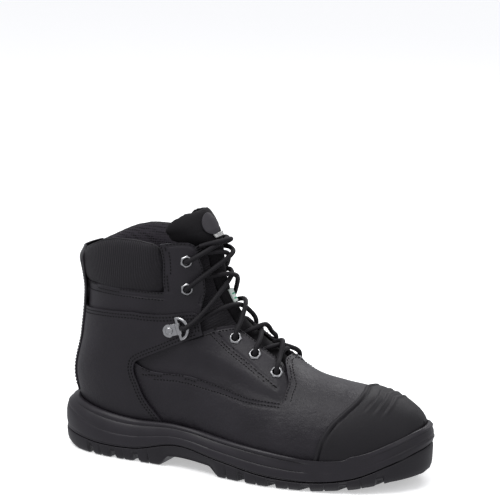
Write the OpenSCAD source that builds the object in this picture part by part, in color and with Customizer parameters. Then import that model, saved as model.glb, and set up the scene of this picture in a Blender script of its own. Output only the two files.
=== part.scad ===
// Steel toe work boot, right foot, six inch lace-up with padded collar and cup sole.
// Frame: heel at -X, toe at +X, inner (medial) side at +Y, ground at z = 0, millimetres.

/* [Boot] */
// Overall length of the sole, back of the heel to tip of the toe
overall_length = 312; // [270:350]
// Overall width of the sole across the ball of the foot
ball_width = 110.4; // [96:124]
// Height of the top line of the collar at the ankle
collar_height = 180; // [150:220]

/* [Leather] */
// Thickness of the upper leather
leather = 1.8; // [1.4:0.1:2.6]
// Clearance left between layers that lie on one another
layer_gap = 0.35; // [0.2:0.05:0.6]
// Thickness of the inner lining
lining = 1.1; // [0.8:0.1:1.5]
// Wall of the steel toe cap
steel = 2; // [1.6:0.1:2.4]

/* [Laces and eyelets] */
// Diameter of the round lace
lace_diameter = 3.8; // [3:0.1:5]
// Width across the corners of the hexagonal eyelet rim
eyelet_rim = 10; // [8:0.5:12]
// Bore of the eyelets
eyelet_bore = 5.8; // [4:0.1:6]
// Outside width of the D-ring
ring_width = 19.5; // [16:22]
// Wire of the D-ring
ring_wire = 2.6; // [2:0.1:3.2]

/* [Sole] */
// Thickness of the moulded rim that holds the upper
rim_wall = 2.6; // [2:0.1:4]
// Thickness of the puncture plate
plate = 1.2; // [0.6:0.1:2]
// Thickness of the footbed
footbed_thickness = 4.5; // [3:0.5:6]

/* [Assembly] */
// Which piece to draw, or all of them

/* [Hidden] */

x_scale = overall_length / 312;
y_scale = ball_width / 110.4;
z_scale = collar_height / 180;
half_length = overall_length / 2;

// Build-up from the cavity floor: plate, board, then the tucked edge of the upper and the footbed
plate_rise = 0.3;
board_rise = plate_rise + plate + 0.3;
board = 1.8;
edge_rise = board_rise + board + 0.4;

// Heights of the faces above the boot surface, outer face of each layer
raised = leather + 0.4;
level_leather = -0.5 * layer_gap;
level_under = level_leather - leather - layer_gap;
level_steel = level_under;
level_lining = level_steel - steel - layer_gap;
level_tuck = level_under - 0.3;
level_foot = level_lining - lining - layer_gap;

// Sections of the boot surface, toe tip to collar.  Each row is one slice:
// ridge x, ridge z, base x, base z, outer half width, inner half width, where the widest
// point lies from ridge (0) to base (1), squareness of the front, squareness of the back, middle y
sections = [
    [148.3, 49.5, 148.3, 20, 0, 0, .50, 0, 0, 6],
    [146.3, 53, 145.5, 11, 17, 18.5, .58, .10, .20, 5.5],
    [139.5, 59.5, 138, 6, 27.5, 28.5, .64, .15, .30, 4.5],
    [126, 67.5, 123, 3, 36, 36.5, .66, .15, .30, 2.5],
    [106, 73, 100, 0, 43.5, 44, .66, .12, .30, .5],
    [82, 76, 72, -2, 48, 48, .66, .06, .30, 0],
    [59, 81, 40, -2, 50.5, 47, .66, 0, .30, .5],
    [38, 94, 3, 0, 47, 41, .63, 0, .25, 1.5],
    [20, 106, -35, 4, 41, 34, .60, 0, .20, 2.5],
    [3, 119, -78, 8, 37, 33, .58, 0, .20, 3.5],
    [-9, 137, -124, 14, 35.5, 35, .58, 0, .20, 3.5],
    [-14, 153, -144, 54, 35, 34, .58, 0, .12, 3.5],
    [-16, 167, -138.5, 92, 34, 33, .56, 0, .08, 3.5],
    [-18, 180, -135.5, 128, 34, 33, .52, 0, .05, 3.5],
    [-22, 190, -141, 163, 35.5, 34.5, .50, 0, 0, 3.5],
    [-28, 197, -144, 180, 36, 35, .50, 0, 0, 3.5]
];
last_section = len(sections) - 1;

// Sole tables run from the toe tip (first) to the back of the heel (last) in equal turns of a
// half circle laid along the boot, so both ends come out round.
sole_outer = [-7, 12, 31, 43.7, 52, 55.1, 49.3, 41.2, 39, 36.4, 28, 14.5, -3.5];
sole_inner = [7, 25, 41, 49.8, 54.4, 53.6, 44.4, 40.7, 43.8, 45, 37, 24.5, 3.5];
rim_heights = [47.5, 46, 38, 28.5, 25.5, 28.5, 31.5, 35.5, 34.5, 37.5, 41.5, 43, 43];
parting_heights = [32, 29, 22, 11.8, 7.4, 8.6, 13.8, 18.7, 11.2, 10.4, 12.5, 14, 14];
seat_heights = [20, 19, 15.5, 9.8, 6.8, 8, 12.5, 16, 10.4, 9.8, 11, 12, 12];
floor_heights = [29, 28, 24, 18, 16, 17.5, 20.5, 23, 24, 25, 26, 26, 26];
tread_heights = [14.5, 14, 12.6, 7, 3.8, 4, 7.5, 9.5, 5.2, 5, 6, 8.5, 9];
ground_heights = [11, 10.5, 8.6, 3, 0, 0, 0, 0, 0, 0, 0, 3, 4];

function clamp(a, low, high) = min(max(a, low), high);

// Smooth value of a table at a position counted in rows
function smooth(rows, at) =
    let (n = len(rows) - 1,
        i = clamp(floor(at), 0, n - 1),
        t = at - i,
        b = rows[i],
        c = rows[i + 1],
        a = i > 0 ? rows[i - 1] : 2 * b - c,
        d = i < n - 1 ? rows[i + 2] : 2 * c - b)
    0.5 * (2 * b + (c - a) * t + (2 * a - 5 * b + 4 * c - d) * t * t
        + (3 * b - a - 3 * c + d) * t * t * t);

// Value of a sole table at a turn t (0 toe, 1 heel) and at a length position x
function sole_at(rows, t) = smooth(rows, t * (len(rows) - 1));
function turn_of(x) = acos(clamp(x / half_length, -1, 1)) / 180;
function sole_height(rows, x) = z_scale * sole_at(rows, turn_of(x));
// Height of the lug bottoms: straight runs, so the contact area stays flat on the ground
function ground_at(x) = z_scale * along(ground_heights, turn_of(x));

// Point on the boot surface at section u, share of the way round v (0 ridge, 1 base or back
// seam, negative on the outer side)
function shape_at(u, v) =
    let (row = smooth(sections, u),
        angle = 180 * abs(v),
        c = cos(angle),
        s = sin(angle),
        p = c > 0 ? row[6] * (1 - c) : row[6] - (1 - row[6]) * c,
        k = c > 0 ? row[7] : row[8],
        half = v < 0 ? -row[4] : row[5])
    [x_scale * (row[0] + p * (row[2] - row[0])),
        y_scale * (half * s * (1 + k * (1 - s)) + row[9]),
        z_scale * (row[1] + p * (row[3] - row[1]))];

function unit(a) = a / max(norm(a), 1e-9);

// Outward normal of the boot surface
function outward(u, v) =
    unit(cross(shape_at(u, v + 0.004) - shape_at(u, v - 0.004), shape_at(u + 0.02, v) - shape_at(u - 0.02, v)));

// Point a given height above (or below, negative) the boot surface
function skin(uv, height) = shape_at(uv[0], uv[1]) + height * outward(uv[0], uv[1]);

// Share of the way round at which section u comes down to the heights of a sole table
function share_of(row, p) =
    p >= 1 ? 1 : p < row[6] ? acos(1 - p / row[6]) / 180 : acos(-(p - row[6]) / (1 - row[6])) / 180;
function level(row, rows, add, p, turns) =
    turns == 0 ? p
    : level(row, rows, add, clamp((z_scale * row[1] - add
        - sole_height(rows, x_scale * (row[0] + p * (row[2] - row[0]))))
        / (z_scale * (row[1] - row[3])), 0, 1.2), turns - 1);
function meets(u, rows, add) = let (row = smooth(sections, u)) share_of(row, level(row, rows, add, 0.7, 8));

// Lower edge of the upper leather, tucked down inside the rim
function tuck(u) = meets(u, floor_heights, edge_rise);

// Height profile and outlines between given points
function along(points, t) = let (n = len(points) - 1, at = clamp(t, 0, 1) * n, i = clamp(floor(at), 0, n - 1))
    n == 0 ? points[0] : points[i] + (at - i) * (points[i + 1] - points[i]);
function curve(points, t) = smooth(points, clamp(t, 0, 1) * (len(points) - 1));

// Patch spanned by four edges: low and high run front to back, front and back run low to high
function patch(low, high, front, back, s, t) =
    (1 - t) * curve(low, s) + t * curve(high, s) + (1 - s) * curve(front, t) + s * curve(back, t)
    - (1 - s) * (1 - t) * low[0] - s * (1 - t) * low[len(low) - 1]
    - (1 - s) * t * high[0] - s * t * high[len(high) - 1];

// Keep a place on the surface above the tucked-in edge
function tucked(uv) = [uv[0], sign(uv[1]) * min(abs(uv[1]), tuck(uv[0]))];
function mirrored(points, side) = [for (p = points) [p[0], side * p[1]]];

// Closed sheet between an outer and an inner grid of points of one size.  Cells can be left
// out: keep(i, j) is a list of rows of flags, or undef for a full sheet.
module sheet(outer, inner, keep = undef) {
    rows = len(outer);
    cols = len(outer[0]);
    n = rows * cols;
    function there(i, j) = i >= 0 && j >= 0 && i < rows - 1 && j < cols - 1
        && (is_undef(keep) || keep[i][j]);
    function at(i, j) = i * cols + j;
    points = concat([for (r = outer) for (p = r) p], [for (r = inner) for (p = r) p]);
    faces = [for (i = [0:rows - 2]) for (j = [0:cols - 2]) if (there(i, j))
        let (a = at(i, j), b = at(i, j + 1), c = at(i + 1, j + 1), d = at(i + 1, j))
        each concat([[a, b, c], [a, c, d], [n + c, n + b, n + a], [n + d, n + c, n + a]],
            there(i - 1, j) ? [] : [[a, n + a, n + b], [a, n + b, b]],
            there(i, j + 1) ? [] : [[b, n + b, n + c], [b, n + c, c]],
            there(i + 1, j) ? [] : [[c, n + c, n + d], [c, n + d, d]],
            there(i, j - 1) ? [] : [[d, n + d, n + a], [d, n + a, a]])];
    polyhedron(points, faces, convexity = 10);
}

// Sheet laid on the boot surface: grid of places, heights of its outer face along the rows
// (low to high) and along the columns (front to back), thickness
module laid(places, by_row, by_column, thickness, side = -1, keep = undef) {
    nt = len(places) - 1;
    ns = len(places[0]) - 1;
    heights = [for (j = [0:nt]) [for (i = [0:ns]) min(along(by_row, j / nt), along(by_column, i / ns))]];
    outer = [for (j = [0:nt]) [for (i = [0:ns]) skin(places[j][i], heights[j][i])]];
    inner = [for (j = [0:nt]) [for (i = [0:ns]) skin(places[j][i], heights[j][i] - thickness)]];
    if (side > 0) sheet(inner, outer, keep);
    else sheet(outer, inner, keep);
}

// Grid of places over a patch
function places(low, high, front, back, ns, nt, side) =
    [for (j = [0:nt]) [for (i = [0:ns]) let (p = patch(low, high, front, back, i / ns, j / nt))
        tucked([p[0], side * p[1]])]];

// Closed tube through a list of equal rings, capped across with strips.  Every ring runs out
// along one side and comes back along the other.
module tube(rings) {
    n = len(rings[0]);
    half = n / 2;
    m = len(rings);
    top = (m - 1) * n;
    faces = concat(
        [for (r = [0:m - 2]) for (i = [0:n - 1]) let (k = (i + 1) % n, a = r * n)
            each [[a + i, a + k, a + n + k], [a + i, a + n + k, a + n + i]]],
        [[0, n - 1, 1], [half - 1, half + 1, half], [top, top + 1, top + n - 1],
            [top + half - 1, top + half, top + half + 1]],
        [for (i = [1:half - 2])
            each [[i, n - i, n - i - 1], [i, n - i - 1, i + 1], [top + i, top + i + 1, top + n - i - 1],
                [top + i, top + n - i - 1, top + n - i]]]);
    polyhedron([for (r = rings) for (p = r) p], faces, convexity = 10);
}

sole_steps = 40;
function ring_turn(i) = i <= sole_steps ? i / sole_steps : (2 * sole_steps - i) / sole_steps;
function ring_side(i) = i <= sole_steps ? -1 : 1;
ring_places = [for (i = [0:2 * sole_steps - 1]) i];

// Point of the sole outline, drawn in by an inset
function outline(i, inset) =
    let (t = ring_turn(i),
        middle = (sole_at(sole_inner, t) - sole_at(sole_outer, t)) / 2,
        half = (sole_at(sole_inner, t) + sole_at(sole_outer, t)) / 2 * (1 - inset / 48))
    [(half_length - inset) * cos(180 * t), y_scale * (middle + ring_side(i) * half), 0];
function sole_ring(rows, inset, add) =
    [for (i = ring_places) outline(i, inset) + [0, 0, z_scale * sole_at(rows, ring_turn(i)) + add]];

// Where the upper passes the heights of a sole table, found for every ring position
function rim_x(u, rows, add) = shape_at(u, meets(u, rows, add))[0];
function find_section(x, rows, add, low, high, turns) =
    let (mid = (low + high) / 2)
    turns == 0 ? mid
    : rim_x(mid, rows, add) > x ? find_section(x, rows, add, mid, high, turns - 1)
    : find_section(x, rows, add, low, mid, turns - 1);
function heel_section(rows, add, low, high, turns) =
    let (mid = (low + high) / 2)
    turns == 0 ? mid
    : meets(mid, rows, add) >= 1 ? heel_section(rows, add, low, mid, turns - 1)
    : heel_section(rows, add, mid, high, turns - 1);
function upper_ring(rows, add, height) =
    let (first = 0.12,
        last = heel_section(rows, add, 9.5, 11.5, 14),
        x_toe = rim_x(first, rows, add),
        x_heel = shape_at(last, 1)[0])
    [for (i = ring_places)
        let (t = ring_turn(i),
            x = x_heel + (x_toe - x_heel) * (1 + cos(180 * t)) / 2,
            u = t == 0 ? first : t == 1 ? last : find_section(x, rows, add, first, last, 14),
            v = ring_side(i) * min(meets(u, rows, add), 1),
            q = skin([u, v], height))
        t == 0 ? [q[0], y_scale * smooth(sections, u)[9], q[2]] : q];

heel_section_u = heel_section(floor_heights, edge_rise, 9.5, 11.5, 16);

// ---------------------------------------------------------------- sole

// How far the inside of the rim stands off the boot surface: wide where raised leather passes
function rim_off(u) =
    let (wide = raised + layer_gap, close = layer_gap)
    u < 5 ? wide : u < 5.6 ? wide + (close - wide) * (u - 5) / 0.6
    : u < 7.8 ? close : u < 8.5 ? close + (wide - close) * (u - 7.8) / 0.7 : wide;
function shelf(ring, rows, add) =
    [for (q = ring) [q[0], q[1], sole_height(rows, q[0]) + add]];
function grown(ring, amount) =
    [for (i = ring_places)
        let (o = outline(i, 0), r = ring[i], d = [o[0] - r[0], o[1] - r[1], 0])
        r + unit(d) * min(amount, norm(d) - 0.4)];

module outsole() color([0.07, 0.07, 0.075]) tread();
module tread() {
    heel_rows = [[-147, -122], [-117.5, -101.5], [-96, -81], [-75, -57]];
    fore_rows = [[-4.5, 17], [23.5, 43], [50, 70], [77.5, 99], [105.5, 125.5], [131, 147]];
    function edge(x, side) =
        let (t = turn_of(x))
        side < 0 ? -y_scale * sole_at(sole_outer, t) : y_scale * sole_at(sole_inner, t);
    // A lug is a prism between a floor that follows the ground and the sole above
    module lug(corners) hull() {
        for (c = corners) {
            low = ground_at(c[0]);
            high = sole_height(tread_heights, c[0]) + 1;
            translate([c[0], c[1], low]) cylinder(h = 0.01, r = 0.4, $fn = 3);
            translate([c[0], c[1], high]) cylinder(h = 0.01, r = 1, $fn = 3);
        }
    }
    module edge_lug(x0, x1, inner_y, skew, side) {
        a = x_scale * x0;
        b = x_scale * x1;
        m = (a + b) / 2;
        lug([[a, edge(a, side) - side * 2], [m, edge(m, side) - side * 2], [b, edge(b, side) - side * 2],
            [b - skew, side * inner_y], [a - skew, side * inner_y]]);
    }
    tube([sole_ring(tread_heights, 2.2, 0), sole_ring(tread_heights, 0.6, 1.2), sole_ring(parting_heights, 0, 0),
        sole_ring(parting_heights, 1.2, 0.7), sole_ring(parting_heights, 3, -0.2),
        sole_ring(seat_heights, 9, 0)]);
    // Heel: edge lugs either side and a raised band round a smooth centre
    for (side = [-1, 1]) for (r = heel_rows)
        edge_lug(r[0], r[1], 23 * y_scale, r[0] < -140 ? -4 : 3, side);
    for (side = [-1, 1]) for (k = [0:4]) {
        a0 = 180 - k * 18;
        a1 = a0 - 15;
        lug([[-104 * x_scale + 27 * cos(a0), 3.5 + side * 18.5 * sin(a0)],
            [-104 * x_scale + 27 * cos(a1), 3.5 + side * 18.5 * sin(a1)],
            [-104 * x_scale + 21 * cos(a1), 3.5 + side * 13.5 * sin(a1)],
            [-104 * x_scale + 21 * cos(a0), 3.5 + side * 13.5 * sin(a0)]]);
    }
    for (side = [-1, 1])
        lug([[-100 * x_scale, 3.5 + side * 19], [-57 * x_scale, 3.5 + side * 17], [-57 * x_scale, 3.5 + side * 12],
            [-100 * x_scale, 3.5 + side * 14]]);
    // Forefoot: edge lugs, with chevron lugs between them either side of a long channel
    for (side = [-1, 1]) for (i = [0:len(fore_rows) - 1]) {
        r = fore_rows[i];
        narrow = i > 4 ? 16 : i > 3 ? 24 : 28;
        edge_lug(r[0], r[1], narrow * y_scale, 4, side);
    }
    for (i = [0:4]) for (side = [-1, 1]) {
        a = x_scale * fore_rows[i][0] - 5;
        b = x_scale * fore_rows[i][1] - 5;
        wide = (i > 3 ? 20 : 24) * y_scale;
        lug([[a, side * wide], [b, side * wide], [b - 7, side * 4], [a - 7, side * 4]]);
    }
    // Low bars across the waist
    for (side = [-1, 1]) for (x = [-42, -30, -18]) translate([x * x_scale, side * 27, 8.2 * z_scale])
        hull() for (y = [-7, 7]) translate([0, y, 0]) cylinder(h = 3, r1 = 1.4, r2 = 2.2, $fn = 8);
}

// Ring between the rim and the outline: share of the way out, share of the height up
function wall_ring(inside, out, up) =
    let (rim = grown(inside, rim_wall))
    [for (i = ring_places) let (a = outline(i, 0.2), b = rim[i], low = z_scale * sole_at(parting_heights, ring_turn(i)))
        [b[0] + out * (a[0] - b[0]), b[1] + out * (a[1] - b[1]), low + up * (b[2] - low)]];

module midsole() color([0.09, 0.09, 0.095]) {
    inside = upper_ring_off(rim_heights, 0);
    low = upper_ring_off(floor_heights, 0);
    tube([sole_ring(seat_heights, 9.4, 0.5),
        sole_ring(parting_heights, 3.4, 0.3), sole_ring(parting_heights, 1.1, 1.4),
        sole_ring(parting_heights, 0.7, 2.4), wall_ring(inside, 0.97, 0.42), wall_ring(inside, 0.86, 0.68),
        wall_ring(inside, 0.5, 0.86), wall_ring(inside, 0.16, 0.93),
        [for (q = grown(inside, rim_wall * 0.9)) q - [0, 0, 0.5]],
        [for (q = grown(inside, rim_wall * 0.4)) q + [0, 0, 0.3]],
        inside, upper_ring_off(mixed(0.3), 0), upper_ring_off(mixed(0.65), 0), shelf(low, floor_heights, 0)]);
}
// Heights a share of the way down from the rim to the cavity floor
function mixed(share) = [for (k = [0:len(rim_heights) - 1]) rim_heights[k] + share * (floor_heights[k] - rim_heights[k])];
function upper_ring_off(rows, add) =
    let (first = 0.12,
        last = heel_section(rows, add, 9.5, 11.5, 14),
        x_toe = rim_x(first, rows, add),
        x_heel = shape_at(last, 1)[0])
    [for (i = ring_places)
        let (t = ring_turn(i),
            x = x_heel + (x_toe - x_heel) * (1 + cos(180 * t)) / 2,
            u = t == 0 ? first : t == 1 ? last : find_section(x, rows, add, first, last, 14),
            v = ring_side(i) * min(meets(u, rows, add), 1),
            q = skin([u, v], rim_off(u)))
        t == 0 ? [q[0], y_scale * smooth(sections, u)[9], q[2]] : q];

module puncture_plate() color([0.55, 0.56, 0.58]) {
    low = upper_ring(floor_heights, plate_rise, level_under);
    high = upper_ring(floor_heights, plate_rise + plate, level_under);
    tube([shelf(low, floor_heights, plate_rise), shelf(high, floor_heights, plate_rise + plate)]);
}

module insole_board() color([0.45, 0.38, 0.28]) {
    low = upper_ring(floor_heights, board_rise, level_leather - 0.3);
    high = upper_ring(floor_heights, board_rise + board, level_leather - 0.3);
    tube([shelf(low, floor_heights, board_rise), shelf(high, floor_heights, board_rise + board)]);
}

module footbed() color([0.16, 0.17, 0.19]) {
    base = upper_ring(floor_heights, edge_rise + 2, level_foot - 0.9);
    top = upper_ring(floor_heights, edge_rise + 2, level_foot - 2);
    tube([shelf(base, floor_heights, edge_rise), shelf(base, floor_heights, edge_rise + footbed_thickness - 1),
        shelf(top, floor_heights, edge_rise + footbed_thickness)]);
}

// ---------------------------------------------------------------- upper, front

// Rear edge of the toe guard: section for each share of the way round
guard_edge = [4.1, 4.02, 4.08, 4.3, 4.58, 4.75, 4.82, 4.85];
guard_shares = 0.56;
function guard_back(v) = curve(guard_edge, abs(v) / guard_shares);

// Sheet across the toe, from section "first" to a back edge given as a function of the share
module across(first, back_less, height, thickness, ns, nt, by_row = [9, 9], by_column = [9, 9]) {
    grid = [for (j = [-nt:nt]) [for (i = [0:ns])
        let (s = i / ns,
            u1 = guard_back(0.56 * j / nt) - back_less,
            u = first + (u1 - first) * s,
            v = tuck(u) * j / nt)
        [u, v]]];
    laid(grid, [for (h = by_row) min(h, height)], [for (h = by_column) min(h, height)], thickness);
}

module toe_guard() color([0.10, 0.10, 0.105]) across(0.05, 0, raised, leather, 12, 11);

module steel_toe_cap() color([0.62, 0.63, 0.65]) across(0.2, 0.55, level_steel, steel, 10, 9);

module toe_cap_edge_strip() color([0.2, 0.2, 0.2]) {
    grid = [for (j = [-10:10]) [for (i = [0:3])
        let (u = guard_back(0.56 * j / 10) - 0.5 + 0.7 * i / 3) [u, tuck(u) * j / 10]]];
    laid(grid, [level_steel], [level_steel], 1.2);
}

// Upper edge of the vamp along the facing, and where its wings end under the rear quarter
wing_top = [.27, .34, .375, .41, .47];
throat = [6.9, 6.88, 6.6, 6.35, 6.28, 6.2];
wing_back = [10.65, 10.3, 9.9, 9.45, 9.1];
throat_section = 6.2;
function wing_share(u) = smooth(wing_top, clamp((u - 6.2) / 1, -0.2, 4.4));

module vamp() color([0.12, 0.12, 0.125]) vamp_leather();
module vamp_leather() {
    front_cols = 8;
    back_cols = 12;
    inner_rows = 6;
    outer_rows = 7;
    function place(i, j) =
        let (side = j < 0 ? -1 : 1,
            a = abs(j),
            inside = a <= inner_rows,
            q = inside ? a / inner_rows : (a - inner_rows) / outer_rows,
            front = guard_back(0.56 * a / (inner_rows + outer_rows)) - 0.35,
            edge = inside ? curve(throat, q) : throat_section,
            back = inside ? 10.65 : curve(wing_back, q),
            u = i <= front_cols ? front + (edge - front) * i / front_cols
                : edge + (back - edge) * (i - front_cols) / back_cols,
            v = inside ? q * wing_share(u) : wing_share(u) + q * (tuck(u) - wing_share(u)))
        [u, side * v];
    rows = inner_rows + outer_rows;
    grid = [for (j = [-rows:rows]) [for (i = [0:front_cols + back_cols]) place(i, j)]];
    keep = [for (j = [-rows:rows - 1]) [for (i = [0:front_cols + back_cols - 1])
        i < front_cols || j < -inner_rows || j >= inner_rows]];
    laid(grid, [level_leather], [level_leather], leather, -1, keep);
}

module vamp_lining() color([0.2, 0.2, 0.21]) {
    rows = 8;
    cols = 12;
    grid = [for (j = [-rows:rows]) [for (i = [0:cols])
        let (u = 0.3 + (6.15 - 0.3) * i / cols) [u, tuck(u) * j / rows]]];
    laid(grid, [level_lining], [level_lining], lining);
}

// Lower eyestay, one each side of the lace gap
facing_low = [[6.05, .315], [7, .37], [8, .41], [9, .445], [10, .5], [10.75, .54]];
facing_high = [[6.9, .085], [7.3, .10], [7.8, .107], [8.3, .112], [8.75, .12], [9.1, .135]];
facing_front = [[6.05, .315], [6, .25], [6.1, .17], [6.5, .11], [6.9, .085]];
facing_back = [[10.75, .54], [10.6, .45], [10.2, .35], [9.85, .29], [9.5, .215], [9.1, .135]];
lower_eyelets = [[6.85, .168], [7.85, .17], [8.75, .175]];
upper_eyelets = [[11.4, .262], [12.65, .272]];

module facing(side) difference() {
    laid(places(facing_low, facing_high, facing_front, facing_back, 14, 9, side),
        [level_under - 0.1, level_under - 0.1, level_under + 0.9, level_leather, level_leather, level_leather,
            level_leather, level_leather],
        concat([level_under, level_under], [for (k = [2:14]) level_leather]), leather, side);
    for (e = lower_eyelets) on_skin([e[0], side * e[1]]) translate([0, 0, -6])
        cylinder(h = 12, d = eyelet_bore + 1.9, $fn = 24);
}
module facing_lateral() color([0.12, 0.12, 0.125]) facing(-1);
module facing_medial() color([0.12, 0.12, 0.125]) facing(1);

// ---------------------------------------------------------------- upper, rear

quarter_front = [[8.75, .7], [9, .63], [9.5, .56], [9.95, .51], [10.36, .49], [10.4, .46], [10.05, .36],
    [9.6, .265]];
quarter_top = [[9.6, .265], [10.1, .24], [10.45, .255], [11, .35], [11.5, .43], [11.95, .52], [12.45, .72],
    [12.75, .985]];
quarter_start = 8.75;
function heel_run(k, n, from, last) =
    let (u = from + (heel_section_u - from) * (1 - pow(1 - k / n, 2.2)))
    [k == n ? heel_section_u + 0.02 : u, min(tuck(u), last)];

module rear_quarter(side) difference() {
    low = [for (k = [0:8]) heel_run(k, 8, quarter_start, .985)];
    front = [for (k = [0:7]) k == 0 ? low[0] : quarter_front[k]];
    laid(places(low, quarter_top, front, [low[8], [11.3, .985], [12, .985], [12.75, .985]], 16, 12, side),
        [raised], [raised], leather, side);
    on_skin([clip_rivet[0], side * clip_rivet[1]]) translate([0, 0, -6]) cylinder(h = 12, d = 3.6, $fn = 24);
}
module rear_quarter_lateral() color([0.12, 0.12, 0.125]) rear_quarter(-1);
module rear_quarter_medial() color([0.12, 0.12, 0.125]) rear_quarter(1);

// Ankle band with the upper eyestay, one L-shaped piece each side
band_low = [[9.95, .262], [10.15, .3], [10.6, .4], [11.1, .46], [11.55, .54], [12.1, .74], [12.35, .985]];
band_high = [[11.3, .18], [11.6, .27], [11.85, .36], [12.15, .42], [12.6, .53], [13.1, .74], [13.3, .985]];
eyestay_front = [[9.95, .262], [10.3, .225], [10.8, .185], [11.3, .18]];
eyestay_rise = [[11.3, .18], [12, .19], [12.6, .21], [13.2, .222], [13.5, .25]];
eyestay_top = [[13.5, .25], [13.68, .31], [13.78, .38]];
eyestay_rear = [[11.85, .36], [12.5, .375], [13.2, .38], [13.78, .38]];

module ankle_band(side) difference() {
    cols = 15;
    eye_cols = 5;
    band_rows = 6;
    eye_rows = 8;
    eye_low = [[11.3, .18], [11.6, .27], [11.85, .36]];
    lower = [for (j = [0:band_rows]) [for (i = [0:cols])
        patch(band_low, band_high, eyestay_front, [[12.35, .985], [12.85, .985], [13.3, .985]],
            i / cols, j / band_rows)]];
    upper = [for (j = [1:eye_rows]) [for (i = [0:cols])
        i <= eye_cols ? patch(eye_low, eyestay_top, eyestay_rise, eyestay_rear, i / eye_cols, j / eye_rows)
        : lower[band_rows][i]]];
    grid = [for (r = concat(lower, upper)) [for (p = r) [p[0], side * p[1]]]];
    keep = [for (j = [0:band_rows + eye_rows - 1]) [for (i = [0:cols - 1]) j < band_rows || i < eye_cols]];
    laid(grid, [level_leather], [level_leather], leather, side, keep);
    for (e = upper_eyelets) on_skin([e[0], side * e[1]]) translate([0, 0, -6])
        cylinder(h = 12, d = eyelet_bore + 1.9, $fn = 24);
    on_skin([clip_rivet[0], side * clip_rivet[1]]) translate([0, 0, -6]) cylinder(h = 12, d = 3.6, $fn = 24);
}
module ankle_band_lateral() color([0.12, 0.12, 0.125]) ankle_band(-1);
module ankle_band_medial() color([0.12, 0.12, 0.125]) ankle_band(1);

strip_start = heel_section(rim_heights, 1.2, 9.5, 11.5, 16);
strip = leather * 0.8;
over_collar = 2.7;

module back_strip() color([0.11, 0.11, 0.115]) {
    rows = 16;
    cols = 6;
    grid = [for (j = [0:rows]) [for (i = [0:cols])
        let (u = strip_start + (14 - strip_start) * j / rows,
            half = 0.13 + 0.05 * j / rows,
            w = 1 - half + 2 * half * i / cols)
        [u, w <= 1 ? -w : 2 - w]]];
    over_quarter = raised + strip + layer_gap;
    laid(grid, [over_quarter, over_quarter, over_quarter, over_quarter, over_quarter, over_quarter,
        over_collar, over_collar, over_collar], [over_quarter], strip);
}

// Rows that run round the heel from the outer side to the inner side
function around(rows) =
    [for (r = rows) let (n = len(r) - 1)
        concat([for (p = r) [p[0], -p[1]]], [for (i = [1:n]) r[n - i]])];

module heel_counter() color([0.5, 0.5, 0.48]) {
    low = [for (k = [0:6]) heel_run(k, 6, 9.9, 1)];
    high = [[10.6, .62], [11.2, .7], [11.5, .8], [11.6, 1]];
    grid = [for (j = [0:6]) [for (i = [0:9])
        patch(low, high, [low[0], [10.3, .64], [10.6, .62]], [low[6], [11.1, 1], [11.6, 1]], i / 9, j / 6)]];
    laid(around(grid), [level_steel], [level_steel], 1.6);
}

// Collar: outer edge line, its roll over the top and the inside face
collar_foot = [[11.48, .35], [11.76, .43], [12.24, .54], [12.89, .74], [13.17, .985]];
collar_line = [[13.78, .385], [14.2, .47], [14.5, .60], [14.2, .76], [14.02, .88], [14, .985]];
collar_run = [[0, -0.06], [.13, -0.06], [.24, .25], [.45, .8], [.72, .9], [.93, .45], [1, 0], [1, -1],
    [.95, -1.6], [.8, -1.9], [.6, -2], [.4, -2]];
function collar_place(s, f) = let (a = curve(collar_foot, s), b = curve(collar_line, s)) a + f * (b - a);

collar_outer = [[0, level_tuck - 0.7], [.2, level_tuck - 0.7], [.31, -.8], [.47, .7], [.75, .8], [.93, -.2], [1, -2.2],
    [1, -5], [.94, -7.2], [.8, -8.4], [.6, -8.8], [.42, -8.8]];
collar_inner = [[0, level_tuck - 1.7], [.21, level_tuck - 1.7], [.33, -1.9], [.48, -.4], [.74, -.3], [.88, -1.2],
    [.93, -2.8], [.93, -4.8], [.88, -6.4], [.78, -7.4], [.6, -7.8], [.42, -7.8]];
foam_outer = [[.37, -2.8], [.49, -1.2], [.6, -1.1], [.73, -1.1], [.85, -2.2]];
foam_inner = [[.37, -7], [.49, -7.1], [.6, -7.1], [.75, -6.7], [.85, -5.7]];

// The front edge of the collar stays low enough to pass under the eyestay
function front_cap(s) = s < .05 ? level_tuck : level_tuck + (s - .05) * 36;
module collar_sheet(outer, inner, side, first = 0) {
    cols = 12;
    function row(list, j, less) = [for (i = [0:cols])
        let (s = first + (1 - first) * i / cols, p = collar_place(s, list[j][0]))
        skin([p[0], side * p[1]], min(list[j][1], front_cap(s) - less))];
    a = [for (j = [0:len(outer) - 1]) row(outer, j, 0)];
    b = [for (j = [0:len(inner) - 1]) row(inner, j, 1)];
    if (side > 0) sheet(b, a);
    else sheet(a, b);
}
module collar_lateral() color([0.15, 0.15, 0.16]) collar_sheet(collar_outer, collar_inner, -1);
module collar_medial() color([0.15, 0.15, 0.16]) collar_sheet(collar_outer, collar_inner, 1);
module collar_foam_lateral() color([0.75, 0.72, 0.6]) collar_sheet(foam_outer, foam_inner, -1, 0.17);
module collar_foam_medial() color([0.75, 0.72, 0.6]) collar_sheet(foam_outer, foam_inner, 1, 0.17);

module quarter_lining() color([0.2, 0.2, 0.21]) {
    low = concat([[6.9, tuck(6.9)], [7.6, tuck(7.6)], [8.3, tuck(8.3)]],
        [for (k = [0:7]) heel_run(k, 7, 8.9, 1)]);
    high = [[6.9, .33], [8, .345], [9.5, .35], [10.8, .36], [11.8, .4], [12.35, .48], [12.75, .62], [13, .8],
        [13.15, 1]];
    grid = [for (j = [0:8]) [for (i = [0:14])
        let (p = patch(low, high, [low[0], [6.9, .33]], [low[10], [11.5, 1], [13.15, 1]], i / 14, j / 8))
        [p[0], min(p[1], tuck(p[0]))]]];
    laid(around(grid), [level_lining], [level_lining], lining);
}

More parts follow.
